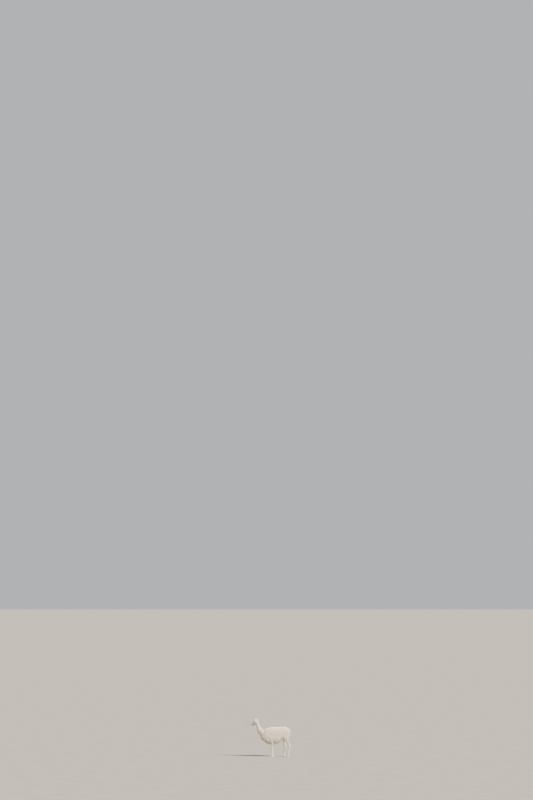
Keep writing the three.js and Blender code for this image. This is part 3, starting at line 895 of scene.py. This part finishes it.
def unwrap(made):
    bpy.ops.object.select_all(action="DESELECT")
    bpy.context.view_layer.objects.active = made
    made.select_set(True)
    made.data.uv_layers.new(name="OFBake")
    bpy.ops.object.mode_set(mode="EDIT")
    bpy.ops.mesh.select_all(action="SELECT")
    bpy.ops.uv.smart_project(angle_limit=math.radians(66), island_margin=0.001)
    bpy.ops.object.mode_set(mode="OBJECT")


planCoat(skin.data, shells)
unwrap(skin)
print("coat planned and skin unwrapped")


# fleece: locks of wool as thin tapered tufts, gathered into hanging clumps
fleecePlan = {
    "tufts": 64000,
    "pieces": 7,
    "area": 2.1,  # square metres of woolly skin, for the number of clumps
    "woolFrom": 0.12,  # how far the coat is wool where the locks begin
    "usualLength": 0.045,  # metres, for which the number and width of the locks are meant
    "halfWidth": 2.2,  # mm, at the thickest
    "clumpSize": 46,  # mm from one clump to the next
    "gather": 0.45,  # how far the tips draw towards the clump's own line
    "wave": 5.0,  # mm the tufts wave from side to side
    "rootDepth": 0.002,  # metres that the roots lie under the skin
    "seed": 5,
}
patchSize = 0.003  # of a tuft on the unwrap, at its root's place


def surfaceOf(mesh):
    mesh.calc_loop_triangles()
    count = len(mesh.loop_triangles)
    corners, loops = np.empty(count * 3, np.int32), np.empty(count * 3, np.int32)
    mesh.loop_triangles.foreach_get("vertices", corners)
    mesh.loop_triangles.foreach_get("loops", loops)
    uv = np.empty(len(mesh.loops) * 2, np.float32)
    mesh.uv_layers["OFBake"].data.foreach_get("uv", uv)
    lie = np.empty(len(mesh.vertices) * 3, np.float32)
    mesh.attributes["lie"].data.foreach_get("vector", lie)
    return {
        "points": pointsOf(mesh), "normals": normalsOf(mesh), "corners": corners.reshape(-1, 3),
        "uv": uv.reshape(-1, 2)[loops.reshape(-1, 3)], "lie": lie.reshape(-1, 3).astype(float),
        "coat": np.column_stack([readValues(mesh, "coatLength"), readValues(mesh, "coatLift")]).astype(float),
        "wool": readValues(mesh, "wool").astype(float),
    }


def scatter(surface, weight, count, chance):
    # roots spread over the surface by area and weight, each with what the surface knows at its place
    a, b, c = (surface["points"][surface["corners"][:, k]] for k in range(3))
    share = np.linalg.norm(np.cross(b - a, c - a), axis=1) * weight[surface["corners"]].mean(1)
    steps = (np.arange(count) + chance.random(count)) / count
    picked = np.searchsorted(np.cumsum(share) / share.sum(), steps).clip(0, len(share) - 1)
    r, q = np.sqrt(chance.random(count)), chance.random(count)
    mix = np.stack([1 - r, r * (1 - q), r * q], 1)[..., None]
    corners = surface["corners"][picked]
    found = {key: (surface[key][corners] * mix).sum(1) for key in ("points", "normals", "lie", "coat")}
    found["uv"] = (surface["uv"][picked] * mix).sum(1)
    found["normals"] = unit(found["normals"])
    found["lie"] = flattened(found["lie"], found["normals"])
    return found


def pathOf(roots, s):
    # the place of each tuft at s from root to tip: it rises off the skin, then lies down along the coat
    length, lift = roots["coat"][:, :1], roots["coat"][:, 1:]
    reach = np.sqrt(np.maximum(length**2 - lift**2, 0))
    rise = lift * (1 - (1 - s) ** 1.8) - fleecePlan["rootDepth"] * (1 - s)
    return roots["points"] + roots["normals"] * rise + roots["lie"] * reach * s**1.2


def tuftPoints(lines, outs, sides, halfWidth):
    # three corners at each row of a tuft, the third one on its outer side, and then the tip
    rows = lines.shape[1]
    corners = []
    for row, share in enumerate(np.interp(np.linspace(0, 1, rows)[:-1], [0, 0.4, 1], [0.7, 1.0, 0.35])):
        middle, w = lines[:, row], (halfWidth * share)[:, None]
        corners += [
            middle + sides * w - outs * w * 0.25, middle - sides * w - outs * w * 0.25,
            middle + outs * w * 0.7,
        ]
    return np.stack(corners + [lines[:, -1]], 1)


def tuftFaces(rows):
    # the triangles of one tuft, closed at its root and its tip
    top, tip = (rows - 2) * 3, (rows - 1) * 3
    faces = [(0, 1, 2)]
    for row in range(rows - 2):
        for k in range(3):
            low, onward = row * 3 + k, row * 3 + (k + 1) % 3
            faces += [(low, low + 3, onward + 3), (low, onward + 3, onward)]
    return np.array(faces + [(top + k, tip, top + (k + 1) % 3) for k in range(3)])


def tuftMesh(name, lines, outs, sides, halfWidth, uv, tone, patch=patchSize):
    # tufts from their lines: three-sided, thin and tapered to a point, each closed, all in one mesh
    count, rows = lines.shape[:2]
    points = tuftPoints(lines, outs, sides, halfWidth)
    each = points.shape[1]
    corners = (tuftFaces(rows)[None] + (np.arange(count) * each)[:, None, None]).reshape(-1)
    mesh = bpy.data.meshes.new(name)
    mesh.vertices.add(count * each)
    mesh.vertices.foreach_set("co", points.astype(np.float32).ravel())
    mesh.loops.add(len(corners))
    mesh.loops.foreach_set("vertex_index", corners.astype(np.int32))
    mesh.polygons.add(len(corners) // 3)
    mesh.polygons.foreach_set("loop_start", np.arange(0, len(corners), 3, dtype=np.int32))
    mesh.update(calc_edges=True)
    mesh.shade_smooth()
    along = np.append(np.repeat(np.linspace(0, 1, rows)[:-1], 3), 1.0)
    around = np.append(np.tile([0.0, 1.0, 0.5], rows - 1), 0.5)
    local = np.column_stack([around - 0.5, along - 0.5]) * patch
    spots = (uv[:, None] + local[None]).reshape(-1, 2)[corners]
    mesh.uv_layers.new(name="OFBake").data.foreach_set("uv", spots.astype(np.float32).ravel())
    writeValues(mesh, "fromRoot", np.tile(along, count))
    writeValues(mesh, "tone", np.repeat(tone, each))
    return addObject(name, mesh)


def growFleece(plan):
    chance = np.random.default_rng(plan["seed"])
    surface = surfaceOf(skin.data)
    closer = np.clip(plan["usualLength"] / surface["coat"][:, 0], 0.7, 3.0)  # short wool stands closer
    weight = np.where(surface["wool"] > plan["woolFrom"], 1, 0) * closer
    roots = scatter(surface, weight, plan["tufts"], chance)
    count = len(roots["points"])
    clumps = scatter(surface, weight, int(plan["area"] / (plan["clumpSize"] * 0.001) ** 2), chance)
    mine = nearestOf(roots["points"], clumps["points"])
    clumpTurn = chance.normal(0, 0.16, count)[mine]
    clumpLong = chance.uniform(0.85, 1.12, count)[mine]
    clumpTone = chance.uniform(-1, 1, count)[mine]
    sides = np.cross(roots["normals"], roots["lie"])
    roots["lie"] = unit(roots["lie"] + sides * (clumpTurn + chance.normal(0, 0.10, count))[:, None])
    sides = np.cross(roots["normals"], roots["lie"])
    roots["coat"] = roots["coat"] * (clumpLong * chance.uniform(0.82, 1.08, count))[:, None]
    roots["coat"][:, 1] *= chance.uniform(0.55, 1.08, count)
    length = roots["coat"][:, :1]
    phase, beat = chance.uniform(0, 6.28, count)[:, None], chance.uniform(4, 7, count)[:, None]
    offset = roots["points"] - clumps["points"][mine]
    offset -= roots["normals"] * (offset * roots["normals"]).sum(1)[:, None]
    across = (offset * sides).sum(1)[:, None] * sides
    gather = plan["gather"] * np.clip(length / 0.04, 0, 1)  # less on short wool
    lines = []
    for s in np.linspace(0, 1, 4):
        wave = plan["wave"] * 0.001 * np.sin(phase + beat * s) * s * length / 0.06
        lines.append(pathOf(roots, s) + sides * wave - across * gather * s**1.3)
    lines = offFloor(np.stack(lines, 1))
    thinner = np.clip(roots["coat"][:, 0] / plan["usualLength"], 0.55, 1.1)  # short wool is finer too
    halfWidth = plan["halfWidth"] * 0.001 * chance.uniform(0.75, 1.2, count) * thinner
    tone = np.clip(0.5 + 0.28 * clumpTone + chance.normal(0, 0.16, count), 0, 1)
    order = np.argsort(roots["points"][:, 1])  # from the head to the tail
    return [
        tuftMesh(
            f"fleece{number + 1}", lines[rows], roots["normals"][rows], sides[rows], halfWidth[rows],
            roots["uv"][rows], tone[rows])
        for number, rows in enumerate(np.array_split(order, plan["pieces"]))
    ]


fleece = growFleece(fleecePlan)
print("fleece:", sum(len(piece.data.polygons) for piece in fleece), "triangles in", len(fleece), "pieces")


# short hair by Geometry Nodes: small tufts on the face, ears and lower legs, the modifier's inputs named
hairPlan = {
    "headDensity": 150000,  # tufts to a square metre
    "legDensity": 74000,
    "halfWidth": 0.095,  # of a tuft's length
    "rise": 0.16,  # how high its tip stands, of its length
    "seed": 21,
}


def addNode(tree, kind, settings=None, links=None):
    # one node with its settings and links: a link is a socket to read, anything else a value to set
    made = tree.nodes.new(kind)
    for key, value in (settings or {}).items():
        setattr(made, key, value)
    for key, value in (links or {}).items():
        if isinstance(value, bpy.types.NodeSocket):
            tree.links.new(value, made.inputs[key])
        else:
            made.inputs[key].default_value = value
    return made


def singleTuft(plan):
    # a tuft one unit long that lies along +X and stands up along +Z, to be scaled to each place
    s = np.linspace(0, 1, 3)
    line = np.column_stack([s**1.2 * 0.98, 0 * s, plan["rise"] * (1 - (1 - s) ** 1.8) - 0.04 * (1 - s)])
    made = tuftMesh(
        "singleTuft", line[None], np.array([[0, 0, 1.0]]), np.array([[0, 1.0, 0]]),
        np.array([plan["halfWidth"]]), np.zeros((1, 2)), np.array([0.5]), patch=1.0)
    made.data.uv_layers[0].name = "tuftPatch"
    return made


def hairTree(tuft, material):
    tree = bpy.data.node_groups.new("shortHair", "GeometryNodeTree")
    sockets = tree.interface
    sockets.new_socket("Geometry", in_out="INPUT", socket_type="NodeSocketGeometry")
    for name, kind, value in (
        ("Tufts per square metre", "NodeSocketFloat", 1000.0), ("Smallest", "NodeSocketFloat", 0.75),
        ("Largest", "NodeSocketFloat", 1.2), ("Seed", "NodeSocketInt", 1),
    ):
        sockets.new_socket(name, in_out="INPUT", socket_type=kind).default_value = value
    sockets.new_socket("Geometry", in_out="OUTPUT", socket_type="NodeSocketGeometry")
    given = addNode(tree, "NodeGroupInput").outputs
    named = {}
    for name, kind in (
        ("hair", "FLOAT"), ("coatLength", "FLOAT"), ("lie", "FLOAT_VECTOR"), ("OFBake", "FLOAT_VECTOR"),
        ("tuftPatch", "FLOAT_VECTOR"), ("rootPlace", "FLOAT_VECTOR"),
    ):
        named[name] = addNode(
            tree, "GeometryNodeInputNamedAttribute", {"data_type": kind}, {"Name": name}).outputs[0]
    density = addNode(
        tree, "ShaderNodeMath", {"operation": "MULTIPLY"},
        {0: named["hair"], 1: given["Tufts per square metre"]})
    spread = addNode(
        tree, "GeometryNodeDistributePointsOnFaces", {"distribute_method": "RANDOM"},
        {"Mesh": given["Geometry"], "Density": density.outputs[0], "Seed": given["Seed"]})
    kept = addNode(
        tree, "GeometryNodeStoreNamedAttribute", {"data_type": "FLOAT_VECTOR", "domain": "POINT"},
        {"Geometry": spread.outputs["Points"], "Name": "rootPlace", "Value": named["OFBake"]})
    turn = addNode(
        tree, "FunctionNodeAxesToRotation", {"primary_axis": "Z", "secondary_axis": "X"},
        {0: spread.outputs["Normal"], 1: named["lie"]})
    number = addNode(tree, "GeometryNodeInputIndex").outputs[0]
    vary = addNode(
        tree, "FunctionNodeRandomValue", {"data_type": "FLOAT"},
        {2: given["Smallest"], 3: given["Largest"], "ID": number, "Seed": given["Seed"]})
    size = addNode(
        tree, "ShaderNodeMath", {"operation": "MULTIPLY"}, {0: named["coatLength"], 1: vary.outputs[1]})
    single = addNode(tree, "GeometryNodeObjectInfo", None, {"Object": tuft}).outputs["Geometry"]
    tufts = addNode(tree, "GeometryNodeInstanceOnPoints", None, {
        "Points": kept.outputs[0], "Instance": single, "Rotation": turn.outputs[0],
        "Scale": size.outputs[0],
    })
    real = addNode(tree, "GeometryNodeRealizeInstances", None, {"Geometry": tufts.outputs[0]})
    patch = addNode(
        tree, "ShaderNodeVectorMath", {"operation": "SCALE"}, {0: named["tuftPatch"], "Scale": patchSize})
    spot = addNode(
        tree, "ShaderNodeVectorMath", {"operation": "ADD"}, {0: named["rootPlace"], 1: patch.outputs[0]})
    mapped = addNode(
        tree, "GeometryNodeStoreNamedAttribute", {"data_type": "FLOAT2", "domain": "CORNER"},
        {"Geometry": real.outputs[0], "Name": "OFBake", "Value": spot.outputs[0]})
    coloured = addNode(
        tree, "GeometryNodeSetMaterial", None, {"Geometry": mapped.outputs[0], "Material": material})
    addNode(tree, "NodeGroupOutput", None, {0: coloured.outputs[0]})
    return tree


def partOf(source, name, wanted):
    # a copy of the skin that keeps only the faces between wanted points
    copy = source.copy()
    copy.data = source.data.copy()
    copy.name = copy.data.name = name
    bpy.context.scene.collection.objects.link(copy)
    edit = bmesh.new()
    edit.from_mesh(copy.data)
    edit.verts.ensure_lookup_table()
    unwanted = [vert for vert, stays in zip(edit.verts, wanted) if not stays]
    bmesh.ops.delete(edit, geom=unwanted, context="VERTS")
    edit.to_mesh(copy.data)
    edit.free()
    return copy


def growHair(name, where, density, tree, seed):
    made = partOf(skin, name, where)
    modifier = made.modifiers.new("Short hair", "NODES")
    modifier.node_group = tree
    wanted = {"Tufts per square metre": float(density), "Seed": seed}
    for item in tree.interface.items_tree:
        if item.in_out == "INPUT" and item.name in wanted:
            modifier[item.identifier] = wanted[item.name]
    applied(made)
    setPoints(made.data, offFloor(pointsOf(made.data)))
    for spare in ("rootPlace", "tuftPatch", "lie", "hair", "wool", "coatLength", "coatLift", "part"):
        found = made.data.attributes.get(spare)
        if found is not None:
            made.data.attributes.remove(found)
    return made


# finishes: each material's look says what its Principled shader takes
def newMaterial(name, look):
    material = bpy.data.materials.new(name)
    material.use_nodes = True
    tree = material.node_tree
    tree.nodes.clear()
    shader = addNode(tree, "ShaderNodeBsdfPrincipled", None, look(tree))
    addNode(tree, "ShaderNodeOutputMaterial", None, {"Surface": shader.outputs[0]})
    return material


def layered(tree, colour, layers):
    # colours laid over one another: each comes in as its value goes from low to high, up to its most
    for value, low, high, over, most in layers:
        share = addNode(
            tree, "ShaderNodeMapRange", {"interpolation_type": "SMOOTHSTEP"},
            {"Value": value, "From Min": low, "From Max": high, "To Max": most}).outputs[0]
        mix = addNode(tree, "ShaderNodeMix", {"data_type": "RGBA"}, {0: share, 6: colour, 7: over})
        colour = mix.outputs[2]
    return colour


coatColours = {
    "tips": "#FCF5EA",
    "wool": "#F7EEE1",
    "roots": "#E3D5C1",
    "dust": "#E2D2BC",  # lower legs and belly
    "face": "#F0E6D8",
    "bareSkin": "#9A857A",
    "lidSkin": "#4A3D38",
    "innerEar": "#D8BFB0",
}
coatTints = {name: linear(colour) for name, colour in coatColours.items()}


def woolLook(tree):
    # fine crimped wool: broken highlights, a soft bright edge where the fibres stand up to the light
    place = addNode(tree, "ShaderNodeTexCoord").outputs["Object"]
    height = addNode(tree, "ShaderNodeSeparateXYZ", None, {0: place}).outputs[2]
    fromRoot, tone = (
        addNode(tree, "ShaderNodeAttribute", {"attribute_name": name}).outputs["Fac"]
        for name in ("fromRoot", "tone")
    )
    stains = addNode(
        tree, "ShaderNodeTexNoise", None,
        {"Vector": place, "Scale": 9.0, "Detail": 3.0}).outputs[0]  # about 110 mm across
    base = layered(tree, coatTints["wool"], [
        (stains, 0.35, 0.68, coatTints["tips"], 1.0), (tone, 0.15, 0.85, coatTints["tips"], 1.0),
        (height, 0.75, 0.42, coatTints["dust"], 0.45),
    ])
    return {
        "Base Color": layered(tree, coatTints["roots"], [(fromRoot, 0.05, 0.55, base, 1.0)]),
        "Roughness": 0.82, "Specular IOR Level": 0.22, "Sheen Weight": 0.35, "Sheen Roughness": 0.45,
    }


def hairLook(tree):
    # short straight guard hair: a little glossier than wool, it shows the form under it
    place = addNode(tree, "ShaderNodeTexCoord").outputs["Object"]
    height = addNode(tree, "ShaderNodeSeparateXYZ", None, {0: place}).outputs[2]
    fromRoot = addNode(tree, "ShaderNodeAttribute", {"attribute_name": "fromRoot"}).outputs["Fac"]
    patches = addNode(
        tree, "ShaderNodeTexNoise", None,
        {"Vector": place, "Scale": 30.0, "Detail": 3.0}).outputs[0]  # about 33 mm across
    base = layered(tree, coatTints["face"], [
        (patches, 0.35, 0.65, coatTints["tips"], 1.0), (height, 0.5, 0.0, coatTints["dust"], 0.55),
    ])
    return {
        "Base Color": layered(tree, coatTints["face"], [(fromRoot, 0.0, 0.5, base, 1.0)]),
        "Roughness": 0.62, "Specular IOR Level": 0.3, "Sheen Weight": 0.2, "Sheen Roughness": 0.4,
    }


def skinLook(tree):
    # skin under the coat, with flat hair as bump, and bare grey-pink skin on nose, lips, lids and pads
    place = addNode(tree, "ShaderNodeTexCoord").outputs["Object"]
    height = addNode(tree, "ShaderNodeSeparateXYZ", None, {0: place}).outputs[2]
    stretched = addNode(tree, "ShaderNodeMapping", None, {"Vector": place, "Scale": (1, 1, 0.2)}).outputs[0]
    bare, inner, dark = (
        addNode(tree, "ShaderNodeAttribute", {"attribute_name": name}).outputs["Fac"]
        for name in ("bare", "innerEar", "lidRim")
    )
    patches, hairs, pores = (
        addNode(
            tree, "ShaderNodeTexNoise", None, {"Vector": where, "Scale": scale, "Detail": detail}).outputs[0]
        for where, scale, detail in (
            (place, 30.0, 3.0),  # patches about 33 mm across
            (stretched, 900.0, 2.0),  # hairs about 1 mm apart, coarser than real to show
            (place, 1400.0, 2.0),  # pores about 0.7 mm apart
        )
    )
    colour = layered(tree, coatTints["face"], [
        (patches, 0.35, 0.65, coatTints["wool"], 1.0), (height, 0.5, 0.0, coatTints["dust"], 0.55),
        (bare, 0.2, 0.9, coatTints["bareSkin"], 1.0), (dark, 0.2, 0.9, coatTints["lidSkin"], 1.0),
    ])
    colour = addNode(
        tree, "ShaderNodeMix", {"data_type": "RGBA"}, {0: inner, 6: colour, 7: coatTints["innerEar"]})
    relief = addNode(tree, "ShaderNodeMix", {"data_type": "FLOAT"}, {0: bare, 2: hairs, 3: pores})
    bump = addNode(
        tree, "ShaderNodeBump", None, {"Strength": 0.5, "Distance": 0.0006, "Height": relief.outputs[0]})
    roughness = addNode(tree, "ShaderNodeMix", {"data_type": "FLOAT"}, {0: bare, 2: 0.7, 3: 0.42})
    return {
        "Base Color": colour.outputs[2], "Roughness": roughness.outputs[0], "Normal": bump.outputs[0],
        "Specular IOR Level": 0.35, "Sheen Weight": 0.12,
    }


hornColours = {"dark": "#2E2622", "pale": "#6A5A4C"}


def hornLook(tree):
    # nail horn: grown in fine lengthwise layers, satin and dark, with paler streaks along it
    place = addNode(tree, "ShaderNodeTexCoord").outputs["Object"]
    stretched = addNode(tree, "ShaderNodeMapping", None, {"Vector": place, "Scale": (1, 0.12, 1)}).outputs[0]
    grain = addNode(
        tree, "ShaderNodeTexNoise", None,
        {"Vector": stretched, "Scale": 700.0, "Detail": 3.0}).outputs[0]  # layers about 1.4 mm apart
    bump = addNode(tree, "ShaderNodeBump", None, {"Strength": 0.35, "Distance": 0.0005, "Height": grain})
    pale = linear(hornColours["pale"])
    return {
        "Base Color": layered(tree, linear(hornColours["dark"]), [(grain, 0.3, 0.7, pale, 1.0)]),
        "Roughness": 0.42, "IOR": 1.54, "Normal": bump.outputs[0],
    }


eyeColours = {
    "pupil": "#06070A",
    "irisDark": "#22130B",
    "irisLight": "#4A2C18",
    "irisRim": "#120B08",
    "white": "#8E7B6C",
}


def eyeLook(tree):
    # a wet eye: dark brown iris round a lying oval pupil, brown-white at its corners, under a clear film
    tints = {name: linear(colour) for name, colour in eyeColours.items()}
    place = addNode(tree, "ShaderNodeTexCoord").outputs["Object"]
    plane = addNode(tree, "ShaderNodeUVMap", {"uv_map": "eyePlane"}).outputs[0]
    squashed = addNode(tree, "ShaderNodeVectorMath", {"operation": "MULTIPLY"}, {0: plane, 1: (1.0, 2.1, 1)})
    fromMiddle, fromPupil = (
        addNode(tree, "ShaderNodeVectorMath", {"operation": "LENGTH"}, {0: socket}).outputs["Value"]
        for socket in (plane, squashed.outputs[0])
    )
    fibres = addNode(
        tree, "ShaderNodeTexNoise", None,
        {"Vector": place, "Scale": 1500.0, "Detail": 3.0}).outputs[0]  # about 0.7 mm apart
    iris = layered(tree, tints["irisDark"], [
        (fibres, 0.3, 0.7, tints["irisLight"], 1.0), (fromMiddle, 0.5, 0.74, tints["irisRim"], 1.0),
    ])
    return {
        "Base Color": layered(tree, tints["pupil"], [
            (fromPupil, 0.36, 0.44, iris, 1.0), (fromMiddle, 0.74, 0.8, tints["white"], 1.0),
        ]),
        "Roughness": 0.22, "IOR": 1.376, "Coat Weight": 1.0, "Coat Roughness": 0.02,
    }


def lashLook(_):
    # lash hair: dark, slightly glossy
    return {"Base Color": linear("#3A2D26"), "Roughness": 0.5, "Specular IOR Level": 0.4}


woolFinish = newMaterial("llama wool, undyed white", woolLook)
hairFinish = newMaterial("llama guard hair, white", hairLook)
skinFinish = newMaterial("llama skin under short hair", skinLook)
hornFinish = newMaterial("nail horn, grown", hornLook)
eyeFinish = newMaterial("wet eye, dark brown", eyeLook)
lashFinish = newMaterial("lash hair, dark", lashLook)

tuft = singleTuft(hairPlan)
tree = hairTree(tuft, hairFinish)
onHead = readValues(skin.data, "part").round() >= 2
ahead = pointsOf(skin.data)[:, 1] < 0.3  # metres, between the front and the hind legs
shortHair = [
    growHair("headHair", onHead, hairPlan["headDensity"], tree, hairPlan["seed"]),
    growHair("frontLegHair", ~onHead & ahead, hairPlan["legDensity"], tree, hairPlan["seed"] + 1),
    growHair("hindLegHair", ~onHead & ~ahead, hairPlan["legDensity"], tree, hairPlan["seed"] + 2),
]
bpy.data.objects.remove(tuft)
print("short hair:", [len(piece.data.polygons) for piece in shortHair], "triangles")


# eyes: a ball with a slightly raised cornea, each seated behind its lids
def makeEye(name, side):
    radius, cornea = body["eyeRadius"] * 0.999, 0.7
    points, faces = egg((1, 1, 1), (0, 0, 0), None, 64, 44)
    points = unit(points)
    plane = points[:, :2].copy()
    points = points * (radius + cornea * smooth(points[:, 2], 0.72, 0.95))[:, None]
    shell = (points @ np.stack([eyeAcross, eyeUp, eyeOut]) + eyePlace, faces)
    if side < 0:
        shell = mirrored(shell)
    made = meshObject(name, toPart(onNeck(shell[0])), shell[1])
    outwards(made.data)
    made.data.shade_smooth()
    corners = np.empty(len(made.data.loops), np.int32)
    made.data.loops.foreach_get("vertex_index", corners)
    layer = made.data.uv_layers.new(name="eyePlane")
    layer.data.foreach_set("uv", plane[corners].astype(np.float32).ravel())
    made.data.materials.append(eyeFinish)
    return made


lashPlan = {
    "count": 44,
    "length": (12, 19),
    "halfWidth": 0.34,
    "lidRadius": 23.2,  # from the eye's middle to the face of the lid
    "rootDepth": 1.2,
    "seed": 3,
}


def lashLines(side):
    # long lashes along the upper lid, fanned out and curved up
    plan = lashPlan
    count = plan["count"]
    chance = np.random.default_rng(plan["seed"])
    _, high = lidCurve(60)
    share = np.linspace(0.08, 0.9, count) + chance.normal(0, 0.008, count)
    at = np.stack([np.interp(share, np.linspace(0, 1, 60), high[:, k]) for k in range(2)], 1)
    depth = np.sqrt(np.maximum(plan["lidRadius"]**2 - (at**2).sum(1), 0)) - plan["rootDepth"]
    roots = eyePlace + at[:, :1] * eyeAcross + at[:, 1:] * eyeUp + depth[:, None] * eyeOut
    length = chance.uniform(*plan["length"], count)[:, None]
    fan = (at[:, :1] / 18) * 0.75 + chance.normal(0, 0.08, (count, 1))
    lines = []
    for s in np.linspace(0, 1, 4):
        out = eyeOut * (s * 0.85) + eyeUp * (0.55 * s**2 - 0.25 * s) + eyeAcross * fan * s
        lines.append(roots + out * length)
    lines = np.stack(lines, 1)
    if side < 0:
        lines = lines * np.array([-1.0, 1, 1])
    lines = toPart(onNeck(lines.reshape(-1, 3))).reshape(lines.shape)
    ways = unit(lines[:, -1] - lines[:, 0])
    outs = unit(np.cross(ways, np.tile([0, 0, 1.0], (count, 1))))
    return lines, outs, np.cross(ways, outs), np.full(count, plan["halfWidth"] * 0.001)


def makeLashes():
    both = [np.concatenate(values) for values in zip(lashLines(1), lashLines(-1))]
    count = len(both[0])
    made = tuftMesh("lashes", *both, np.tile([0.5, 0.5], (count, 1)), np.full(count, 0.5))
    made.data.materials.append(lashFinish)
    return made


# nails: one on the front of each toe
def makeNails():
    made = []
    for leg in legs:
        for toe in (1, -1):
            where = "outer" if toe == leg["side"] else "inner"
            node = f"nail_{leg['name']}_{where}"
            points, faces = limb(nailStations(leg["x"], leg["y"], toe), 24, 24)
            nail = meshObject(node + "_horn", toPart(points), faces)
            outwards(nail.data)
            nail.data.shade_smooth()
            nail.data.materials.append(hornFinish)
            made.append((nail, node))
    return made


leftEye, rightEye = makeEye("leftEye", 1), makeEye("rightEye", -1)
lashes = makeLashes()
nails = makeNails()
print("eyes, lashes and nails made")


# dressing: finishes, the solids under the pieces hidden, and what each piece rides on
def markLids(mesh):
    fromLid, _ = lidDistance(inHead(toBody(pointsOf(mesh))))
    onHead = readValues(mesh, "part").round() == 2
    writeValues(mesh, "lidRim", (1 - smooth(fromLid, 1.5, 4)) * onHead)


def finish(piece, material):
    piece.data.materials.clear()
    piece.data.materials.append(material)


markLids(skin.data)
finish(skin, skinFinish)
fleshNodes = ["torso", "neck", "head", "tail", "ear_left", "ear_right"]
for leg in legs:
    fleshNodes += [f"leg_{leg['name']}_upper", f"leg_{leg['name']}_lower", f"foot_{leg['name']}"]
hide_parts(*fleshNodes)
for piece in fleece:
    finish(piece, woolFinish)
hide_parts("eye_left")
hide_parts("eye_right")
for nail, node in nails:
    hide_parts(node)
for piece in [skin, leftEye, rightEye, lashes] + shortHair + fleece + [nail for nail, _ in nails]:
    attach(piece, "root")


# floor, light and camera: the camera looks from the animal's left from far away, as the photograph does
floorPlan = {
    "half": 900.0,  # metres, so that its edge lies far off
    "dark": "#97948D",
    "pale": "#9D9A94",
}

view = {
    "lens": 100.0, "sensor": 36.0, "width": 533, "height": 800,
    "pixel": (270.6, 737.4),  # where the animal's middle lies in the frame
    "metresPerPixel": 0.038,
    "above": 3.6,  # degrees that the camera looks down on the animal
    "azimuth": 90.0,
}

lamps = {
    # direction the light comes from, strength, softness in degrees, colour
    "key": ((0.47, 0.66, 0.58), 12.0, 9, "#FFF1DC"),  # from the upper right, as in the photograph
    "fill": ((-0.3, -0.85, 0.45), 0.9, 60, "#EDF2FF"),
}
sky = {"colour": "#E4E8EC", "strength": 0.75}


def floorLook(tree):
    # matt painted concrete: no shine, very faintly blotched
    place = addNode(tree, "ShaderNodeTexCoord").outputs["Object"]
    blotches = addNode(
        tree, "ShaderNodeTexNoise", None,
        {"Vector": place, "Scale": 1.5, "Detail": 4.0}).outputs[0]  # about 700 mm across
    pale = linear(floorPlan["pale"])
    return {
        "Base Color": layered(tree, linear(floorPlan["dark"]), [(blotches, 0.3, 0.7, pale, 1.0)]),
        "Roughness": 0.85,
    }


def setFloor():
    half = floorPlan["half"]
    corners = [(-half, -half, 0), (half, -half, 0), (half, half, 0), (-half, half, 0)]
    floor = meshObject("floor", corners, [(0, 1, 2, 3)])
    floor.data.materials.append(newMaterial("floor, matt painted concrete", floorLook))


def setLights():
    for name, (way, strength, softness, colour) in lamps.items():
        data = bpy.data.lights.new(name, "SUN")
        data.energy, data.angle = strength, math.radians(softness)
        data.color = linear(colour)[:3]
        lamp = addObject(name, data)
        lamp.rotation_euler = (-Vector(way)).to_track_quat("-Z", "Y").to_euler()
    world = bpy.data.worlds.new("studio")
    world.use_nodes = True
    background = world.node_tree.nodes["Background"]
    background.inputs["Color"].default_value = linear(sky["colour"])
    background.inputs["Strength"].default_value = sky["strength"]
    bpy.context.scene.world = world


def setCamera():
    data = bpy.data.cameras.new("camera")
    data.lens, data.sensor_width = view["lens"], view["sensor"]
    data.clip_start, data.clip_end = 0.1, 4000
    focal = view["lens"] / view["sensor"] * view["height"]  # pixels, as the sensor's width is the long side
    low, high = cadBox
    aim = (Vector(low) + Vector(high)) / 2
    around, above = math.radians(view["azimuth"]), math.radians(view["above"])
    back = Vector((math.sin(around) * math.cos(above), -math.cos(around) * math.cos(above), math.sin(above)))
    camera = addObject("camera", data)
    camera.location = aim + back * (focal * view["metresPerPixel"])
    down = math.atan2(view["pixel"][1] - view["height"] / 2, focal)
    right = math.atan2(view["pixel"][0] - view["width"] / 2, focal)
    camera.rotation_euler = (math.pi / 2 - above + down, 0, around + right)
    bpy.context.scene.camera = camera


setFloor()
setLights()
setCamera()
print("floor, lights and camera set")

bpy.context.view_layer.update()
